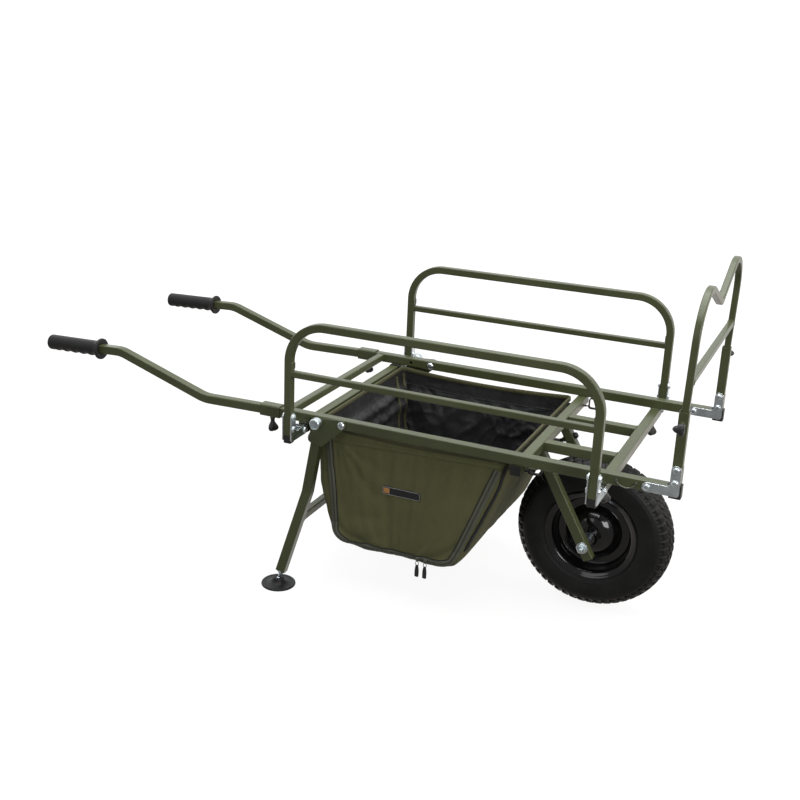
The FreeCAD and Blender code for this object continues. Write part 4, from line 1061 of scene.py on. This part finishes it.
def rim_binding():
    """An olive tape folded over the top edge of the bag."""
    ring = sagging_ring(BAG_HIGH.z)
    normals = outward_flat(ring)
    line = [p - n * 1.6 * MM for p, n in zip(ring, normals)]
    section = [(-7.0, 0.4), (-6.2, 2.3), (0.0, 2.9), (4.2, 2.6), (5.6, 1.4), (6.0, 0.0), (5.6, -1.4),
               (4.2, -2.8), (0.0, -3.4),
               (-6.2, -3.0), (-7.0, -1.4)]
    section = [(a * MM, b * MM) for a, b in section]
    piece = joined("bag_binding", [swept(line, section, True, lambda i: normals[i])])
    hung(piece, binding_cloth, "olive_fabric")


def panel_point(height, share):
    """A point on the right side panel at shares of its height and of its width there."""
    z = BAG_LOW.z + BAG_DEEP * height
    rear, front, half = bag_sides(z)
    return Vector((rear + (front - rear) * share, -half, z))


ZIP_ROUTE = ((0.93, 0.070), (0.67, 0.086), (0.44, 0.092), (0.24, 0.070), (0.11, 0.052), (0.045, 0.085),
             (0.020, 0.20),
             (0.017, 0.50), (0.020, 0.80), (0.045, 0.925), (0.11, 0.958), (0.37, 0.966), (0.65, 0.968),
             (0.91, 0.970))


def bag_zip(outside):
    """The zip round the right side panel: two tapes, a coil of teeth, and a black cord along the flap's edge that
    stands for the flap's shadow (painted shade).
    """
    points = smooth_line([panel_point(h, s) for h, s in ZIP_ROUTE], 26)
    line, normals = stuck(tree_of(outside), resampled(points, 300), Y, 0.7 * MM)
    tape("bag_zip_tape", line, normals, 17 * MM, 1.3 * MM, zip_cloth)
    teeth_line, teeth_normals = stuck(tree_of(outside), resampled(points, 560), Y, 2.1 * MM)
    rows = []
    ring = 8
    for i, point in enumerate(teeth_line):
        along = (teeth_line[min(i + 1, len(teeth_line) - 1)] - teeth_line[max(i - 1, 0)]).normalized()
        out = teeth_normals[i]
        across = along.cross(out).normalized()
        swell = 1.0 if i % 2 else 0.62
        rows.append([point + across * math.cos(2 * math.pi * k / ring) * 2.6 * MM * swell
                     + out * math.sin(2 * math.pi * k / ring) * 1.1 * MM * swell for k in range(ring)])
    hung(joined("bag_zip_teeth", [strip(rows, closed_across=True)]), teeth_cloth, "olive_fabric")
    # Painted shade: a black cord along the flap's inner edge, standing for the shadow the flap casts on the tape.
    edge = []
    for point, normal, ahead in zip(line, normals, line[1:] + line[-1:]):
        along = (ahead - point) if ahead is not point else (line[-1] - line[-2])
        inward = normal.cross(along).normalized()
        edge.append(point + inward * 8.6 * MM + normal * 0.4 * MM)
    flap_shadow = joined("bag_zip_flap_shadow", [swept(edge, circle_section(1.3 * MM, 8), False, lambda i: normals[i])])
    hung(flap_shadow, MATERIALS["black_webbing"], "black_webbing")


def bag_seams(outside, lining):
    """The top seam of the side panels, the corner binding and the bound seams inside."""
    outer, inner = tree_of(outside), tree_of(lining)
    for side, sign in SIDES:
        points = []
        for k in range(61):
            share = 0.075 + 0.905 * k / 60
            height = 0.885 + 0.05 * k / 60
            point = panel_point(height, share)
            points.append(Vector((point.x, -point.y * sign, point.z)))
        line, normals = stuck(outer, points, Y * -sign, 0.3 * MM)
        tape("bag_seam_" + side, line, normals, 9 * MM, 1.0 * MM, MATERIALS["olive_fabric"])
    middle = Vector((BAG_MIDDLE.x, 0, 0))
    bound = ((-1, 1, 0.0), (-1, 1, 0.045), (-1, -1, 0.0), (-1, -1, 0.045), (1, 1, 0.0), (1, -1, 0.0))
    for count, (x_side, y_side, shift) in enumerate(bound):
        line, normals = [], []
        for k in range(46):
            z = BAG_HIGH.z - 9 * MM - (BAG_DEEP - 34 * MM) * k / 45
            rear, front, half = bag_sides(z)
            corner = Vector((rear if x_side < 0 else front, y_side * (half - shift), 0))
            heading = (corner - middle).normalized()
            where, normal, _, _ = inner.ray_cast(Vector((BAG_MIDDLE.x, 0, z)), heading)
            if where is None:
                continue
            line.append(where - heading * 1.0 * MM)
            normals.append(-heading)
        line = [sum((line[max(0, min(len(line) - 1, i + k))] for k in range(-2, 3)), Vector()) / 5
                for i in range(len(line))]
        tape("bag_bound_seam_%d" % count, line, normals, 8 * MM, 2.2 * MM, binding_cloth)
    hem_line = []
    ring = sagging_ring(BAG_HIGH.z - 0.04)
    normals = outward_flat(ring)
    for point, normal in zip(ring, normals):
        where, _, _, _ = inner.ray_cast(point - normal * 0.06, normal)
        hem_line.append((where if where else point - normal * 3 * MM) - normal * 0.6 * MM)
    tape("bag_hem_stitch", hem_line, [-n for n in normals], 2.4 * MM, 0.8 * MM, lining_cloth, closed=True)


def webbing(outside):
    """Loops round the lower cross tubes, and their tails sewn down the bag's ends."""
    outer = tree_of(outside)
    loops, tails = [], []
    for node, x_side in (("lower_cross_tube_rear", -1), ("lower_cross_tube_middle", 1)):
        low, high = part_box(node)
        tube_x = high.x - 12.5 * MM if x_side > 0 else (low.x + high.x) / 2
        tube_z = high.z - 12.5 * MM
        for _, sign in SIDES:
            y = sign * 262 * MM
            reach = 13.2 * MM
            path, outs = [], []
            for k in range(4):
                for s in range(6):
                    a = math.pi / 2 * (k + s / 5)
                    c = Vector((math.copysign(1, math.cos(math.pi / 2 * k + 0.78)), 0,
                                math.copysign(1, math.sin(math.pi / 2 * k + 0.78)))) * (reach - 4 * MM)
                    out = Vector((math.cos(a), 0, math.sin(a)))
                    path.append(Vector((tube_x, y, tube_z)) + c + out * 4 * MM)
                    outs.append(out)
            loops.append(swept(path, tape_section(14 * MM, 1.7 * MM), True, lambda i, o=outs: o[i]))
            rear, front, half = bag_sides(BAG_HIGH.z)
            edge = rear if x_side < 0 else front
            start = Vector((tube_x - x_side * (reach + 1.2 * MM), y, tube_z + 4 * MM))
            points = [start, start - UP * 12 * MM]
            normals = [Vector((-x_side, 0, 0))] * 2
            down_points = []
            for k in range(60):
                z = BAG_HIGH.z - 20 * MM - (BAG_DEEP - 70 * MM) * k / 59
                slide = min(1.0, k / 14)
                down_points.append(Vector((edge, sign * (258 - 14 * slide) * MM, z)))
            line, surface = stuck(outer, down_points, X * -x_side, 0.8 * MM)
            path = points + line
            normals = [Vector((x_side, 0, 0))] * 2 + surface
            tails.append(swept(path, tape_section(14 * MM, 1.5 * MM), False, lambda i, o=normals: o[i]))
    loop_piece = joined("bag_strap_loops", loops)
    place(loop_piece, MATERIALS["black_webbing"], "frame", "black_webbing", "bag_straps")
    tail_piece = joined("bag_strap_tails", tails)
    hung(tail_piece, MATERIALS["black_webbing"], "black_webbing")


def stiff_backing(tree, low, high):
    """The height over the cloth, as y at (x, z), that a stiff patch takes: a fitted plane that never sinks into it."""
    spots = [(low.x + (high.x - low.x) * a / 8, low.z + (high.z - low.z) * b / 3) for a in range(9)
             for b in range(4)]
    hits = [tree.ray_cast(Vector((x, -0.6, z)), Y)[0].y for x, z in spots]
    rise_x, rise_z, level = numpy.linalg.lstsq([(x, z, 1.0) for x, z in spots], hits, rcond=None)[0]
    out = min(y - (rise_x * x + rise_z * z + level) for (x, z), y in zip(spots, hits))
    level += max(out, -2.0 * MM)
    return lambda x, z: float(rise_x * x + rise_z * z + level)


def patch(backing, x0, x1, z0, z1, corner, lift):
    """A rounded raised patch on a stiff backing, with its outline for a border."""
    columns, rows = 36, 10
    grid, outline_low, outline_high = [], [], []
    for i in range(columns + 1):
        x = x0 + (x1 - x0) * i / columns
        gap = min(x - x0, x1 - x)
        cut = corner - math.sqrt(max(0.0, corner ** 2 - (corner - gap) ** 2)) if gap < corner else 0.0
        column = []
        for j in range(rows + 1):
            z = z0 + cut + (z1 - z0 - 2 * cut) * j / rows
            rise = -2.0 * MM if j in (0, rows) or i in (0, columns) else lift
            column.append(Vector((x, backing(x, z) - rise, z)))
        grid.append(column)
        outline_low.append(column[0])
        outline_high.append(column[-1])
    return strip(grid), outline_low + outline_high[::-1]


def badge(outside):
    """A plain rubber patch with a pale edge and a tan square, and no lettering."""
    low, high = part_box("badge")
    backing = stiff_backing(tree_of(outside), low, high)
    body, _ = patch(backing, low.x, high.x, low.z, high.z, 5 * MM, 1.4 * MM)
    edge = 1.9 * MM
    _, outline = patch(backing, low.x + edge, high.x - edge, low.z + edge, high.z - edge, 4 * MM, 1.4 * MM)
    hung(joined("badge_patch", [body]), MATERIALS["badge_rubber"], "badge_rubber", "badge")
    line = [Vector((p.x, backing(p.x, p.z) - 1.5 * MM, p.z)) for p in outline]
    border = joined("badge_edge", [swept(line, circle_section(0.55 * MM, 8), True, lambda i: -Y)])
    hung(border, grey_rubber, "badge_rubber")
    tall = high.z - low.z
    square, _ = patch(backing, low.x + 0.16 * tall, low.x + 0.90 * tall, low.z + 0.14 * tall,
                      high.z - 0.14 * tall,
                      1.5 * MM, 2.1 * MM)
    hung(joined("badge_square", [square]), tan_rubber, "badge_rubber")


def rounded_block(size, corner):
    """Corner-rounded box mesh data about the origin."""
    block = bmesh.new()
    bmesh.ops.create_cube(block, size=1.0)
    bmesh.ops.scale(block, vec=size, verts=block.verts)
    bmesh.ops.bevel(block, geom=block.edges[:], offset=corner, segments=3, profile=0.5, affect="EDGES")
    verts = [v.co.copy() for v in block.verts]
    index = {v: i for i, v in enumerate(block.verts)}
    faces = [tuple(index[v] for v in face.verts) for face in block.faces]
    block.free()
    return verts, faces


def moved(part, offset):
    verts, faces = part[:2]
    return [v + offset for v in verts], faces, None


def zip_hardware():
    """Sliders with a bridge, and a wire loop with a ribbed tab hanging from each."""
    low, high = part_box("zip_sliders")
    y = (low.y + high.y) / 2
    parts = []
    for key in ("rear", "front"):
        puller_low, puller_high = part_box("zip_puller_" + key)
        x = (puller_low.x + puller_high.x) / 2
        z = (low.z + high.z) / 2
        parts.append(moved(rounded_block((9.6 * MM, 2.0 * MM, 10.5 * MM), 0.9 * MM),
                           Vector((x, y + 1.6 * MM, z))))
        parts.append(moved(rounded_block((8.6 * MM, 1.6 * MM, 9.5 * MM), 0.7 * MM),
                           Vector((x, y - 0.6 * MM, z))))
        bridge = [Vector((x, y - 1.2 * MM, z + 4 * MM)), Vector((x, y - 3.0 * MM, z + 2.5 * MM)),
                  Vector((x, y - 3.2 * MM, z - 2 * MM)), Vector((x, y - 1.2 * MM, z - 4 * MM))]
        parts.append(swept(smooth_line(bridge, 5), circle_section(0.9 * MM, 8), False, lambda i: X))
        loop_half, loop_tall = 4.0 * MM, 5.4 * MM
        top = puller_high.z - 0.9 * MM
        loop = []
        for k in range(40):
            a = 2 * math.pi * k / 40
            loop.append(Vector((x + loop_half * math.copysign(abs(math.cos(a)) ** 0.75, math.cos(a)), y,
                                top - loop_tall + loop_tall * math.copysign(abs(math.sin(a)) ** 0.75,
                                                                            math.sin(a)))))
        wire = joined("zip_loop_" + key, [swept(loop, circle_section(0.9 * MM, 8), True, lambda i: Y)])
        place(wire, dull_wire, "zip_pull_" + key, "dark_metal", "zip_puller_" + key)
        rows = []
        start = top - 2 * loop_tall + 2.0 * MM
        length = start - puller_low.z
        half_wide = (puller_high.x - puller_low.x) / 2
        for k in range(61):
            t = k / 60
            half = half_wide * (0.52 + 0.48 * math.sin(math.pi / 2 * min(1.0, t * 1.7)) - 0.10 * t)
            thick = (1.35 + 0.35 * t) * MM * (1 + (0.22 * math.cos(2 * math.pi * t * 9)
                                                   if 0.25 < t < 0.9 else 0))
            end = min(1.0, (0.02 + t) * 14, (1.02 - t) * 14) ** 0.5
            rows.append([Vector((x + half * end * math.copysign(abs(math.cos(a)) ** 0.6, math.cos(a)),
                                 y + thick * end * math.copysign(abs(math.sin(a)) ** 0.6, math.sin(a)),
                                 start - length * t))
                         for a in (2 * math.pi * n / 20 for n in range(20))])
        verts, faces, _ = strip(rows, closed_across=True)
        faces.append(tuple(range(20)))
        faces.append(tuple(reversed(range(60 * 20, 61 * 20))))
        tab = joined("zip_tab_" + key, [(verts, faces, None)])
        place(tab, MATERIALS["zip_tab"], "zip_pull_" + key, "zip_tab")
    sliders = joined("zip_slider_pair", parts)
    place(sliders, dull_wire, "zip_carrier", "dark_metal", "zip_sliders")


def bag():
    outside = bag_outside()
    lining = bag_lining(outside)
    place(outside, MATERIALS["olive_fabric"], "frame", "olive_fabric", "bag_shell")
    place(lining, lining_cloth, "frame", "olive_fabric")
    rim_binding()
    bag_zip(outside)
    bag_seams(outside, lining)
    webbing(outside)
    badge(outside)
    flatten_with_legs(outside)
    flatten_with_legs(lining)


# ---------------------------------------------------------------- studio
def camera():
    data = bpy.data.cameras.new("camera")
    data.lens = 50.645
    data.sensor_width = 36
    data.shift_x = 0.0419
    data.shift_y = -0.0285
    data.clip_end = 200
    view = bpy.data.objects.new("camera", data)
    bpy.context.scene.collection.objects.link(view)
    right, up, back = Vector((0.90064, 0.43338, 0.03153)), Vector((-0.16156, 0.26668,
                                                                   0.95018)), Vector((0.4034, -0.8609,
                                                                                      0.3102))
    turn = Matrix((right, up, back)).transposed().to_4x4()
    turn.translation = Vector((1.19653, -2.61929, 1.44123))
    view.matrix_world = turn
    bpy.context.scene.camera = view


def area_light(name, where, aim, size, power, tint=(1, 1, 1)):
    data = bpy.data.lights.new(name, "AREA")
    data.shape = "RECTANGLE"
    data.size, data.size_y = size
    data.energy = power
    data.color = tint
    light = bpy.data.objects.new(name, data)
    light.location = where
    light.rotation_euler = (Vector(aim) - Vector(where)).to_track_quat("-Z", "Y").to_euler()
    bpy.context.scene.collection.objects.link(light)


def studio():
    """A pale floor and soft light, bright enough to leave a white surround."""
    scene = bpy.context.scene
    scene.view_settings.view_transform = "Standard"
    world = bpy.data.worlds.new("studio")
    world.use_nodes = True
    scene.world = world
    tree = world.node_tree
    lit = tree.nodes["Background"]
    heading = tree.nodes.new("ShaderNodeTexCoord")
    facing = tree.nodes.new("ShaderNodeVectorMath")
    facing.operation = "DOT_PRODUCT"
    facing.inputs[1].default_value = (-0.42, 0.90, 0.0)
    tree.links.new(heading.outputs["Generated"], facing.inputs[0])
    level = tree.nodes.new("ShaderNodeMapRange")
    level.interpolation_type = "SMOOTHSTEP"
    for key, value in (("From Min", -0.5), ("From Max", 0.75), ("To Min", 0.26), ("To Max", 1.05)):
        level.inputs[key].default_value = value
    tree.links.new(facing.outputs["Value"], level.inputs["Value"])
    height = tree.nodes.new("ShaderNodeSeparateXYZ")
    tree.links.new(heading.outputs["Generated"], height.inputs[0])
    shade = tree.nodes.new("ShaderNodeMapRange")
    for key, value in (("From Min", 0.0), ("From Max", -0.35), ("To Min", 1.0), ("To Max", 0.30)):
        shade.inputs[key].default_value = value
    tree.links.new(height.outputs["Z"], shade.inputs["Value"])
    path = tree.nodes.new("ShaderNodeLightPath")
    share = tree.nodes.new("ShaderNodeMix")
    share.inputs["A"].default_value = 1.0
    tree.links.new(path.outputs["Is Diffuse Ray"], share.inputs["Factor"])
    tree.links.new(shade.outputs["Result"], share.inputs["B"])
    strength = tree.nodes.new("ShaderNodeMath")
    strength.operation = "MULTIPLY"
    tree.links.new(level.outputs["Result"], strength.inputs[0])
    tree.links.new(share.outputs["Result"], strength.inputs[1])
    tree.links.new(strength.outputs[0], lit.inputs["Strength"])
    warmth = tree.nodes.new("ShaderNodeMapRange")
    for key, value in (("From Min", 0.1), ("From Max", -0.3)):
        warmth.inputs[key].default_value = value
    tree.links.new(height.outputs["Z"], warmth.inputs["Value"])
    tint = tree.nodes.new("ShaderNodeMix")
    tint.data_type = "RGBA"
    tint.inputs["A"].default_value = (0.97, 0.99, 1.0, 1)
    tint.inputs["B"].default_value = (1.0, 0.95, 0.90, 1)
    tree.links.new(warmth.outputs["Result"], tint.inputs["Factor"])
    tree.links.new(tint.outputs["Result"], lit.inputs["Color"])
    seen = tree.nodes.new("ShaderNodeBackground")
    seen.inputs["Color"].default_value = (1, 1, 1, 1)
    seen.inputs["Strength"].default_value = 1.05
    mix = tree.nodes.new("ShaderNodeMixShader")
    tree.links.new(path.outputs["Is Camera Ray"], mix.inputs[0])
    tree.links.new(lit.outputs[0], mix.inputs[1])
    tree.links.new(seen.outputs[0], mix.inputs[2])
    tree.links.new(mix.outputs[0], tree.nodes["World Output"].inputs["Surface"])
    rows = [[Vector((r * math.cos(2 * math.pi * k / 64), r * math.sin(2 * math.pi * k / 64), -0.6 * MM))
             for k in range(64)]
            for r in (0.5, 2.0, 6.0, 15.0, 40.0)]
    verts, faces, _ = strip(rows, closed_across=True)
    faces.append(tuple(range(64)))
    floor = new_mesh("floor", verts, faces, smooth=False)
    paint = bpy.data.materials.new("floor_paint")
    paint.use_nodes = True
    nodes = paint.node_tree.nodes
    shader = nodes["Principled BSDF"]
    shader.inputs["Base Color"].default_value = (0.12, 0.12, 0.12, 1)
    shader.inputs["Roughness"].default_value = 0.8
    shader.inputs["Specular IOR Level"].default_value = 0.0
    shader.inputs["Emission Color"].default_value = (1, 1, 1, 1)
    where = nodes.new("ShaderNodeNewGeometry")
    length = nodes.new("ShaderNodeVectorMath")
    length.operation = "LENGTH"
    glow = nodes.new("ShaderNodeMapRange")
    for key, value in (("From Min", 1.2), ("From Max", 3.0), ("To Min", 0.90), ("To Max", 1.05)):
        glow.inputs[key].default_value = value
    links = paint.node_tree.links
    links.new(where.outputs["Position"], length.inputs[0])
    links.new(length.outputs["Value"], glow.inputs["Value"])
    links.new(glow.outputs["Result"], shader.inputs["Emission Strength"])
    floor.data.materials.append(paint)
    floor.visible_diffuse = False
    floor.visible_glossy = False
    area_light("overhead", (0.45, -0.1, 3.4), (0.2, 0, 0.3), (4.0, 3.2), 150)
    area_light("wheel_side", (3.4, 0.6, 1.5), (0.2, 0, 0.4), (1.6, 2.0), 34, (1.0, 0.92, 0.84))
    area_light("rear_side", (-3.2, 1.6, 1.8), (0, 0, 0.4), (1.6, 2.0), 20)
    area_light("front_fill", (-0.9, -3.6, 1.9), (0, 0, 0.4), (2.2, 1.4), 12)
    area_light("window", (2.7, -2.5, 1.6), (0.6, 0, 0.3), (1.6, 1.4), 44)


dress_nodes()
thumb_knobs()
grips()
feet()
plungers()
rim()
tyre()
welds()
bag()
zip_hardware()
camera()
studio()
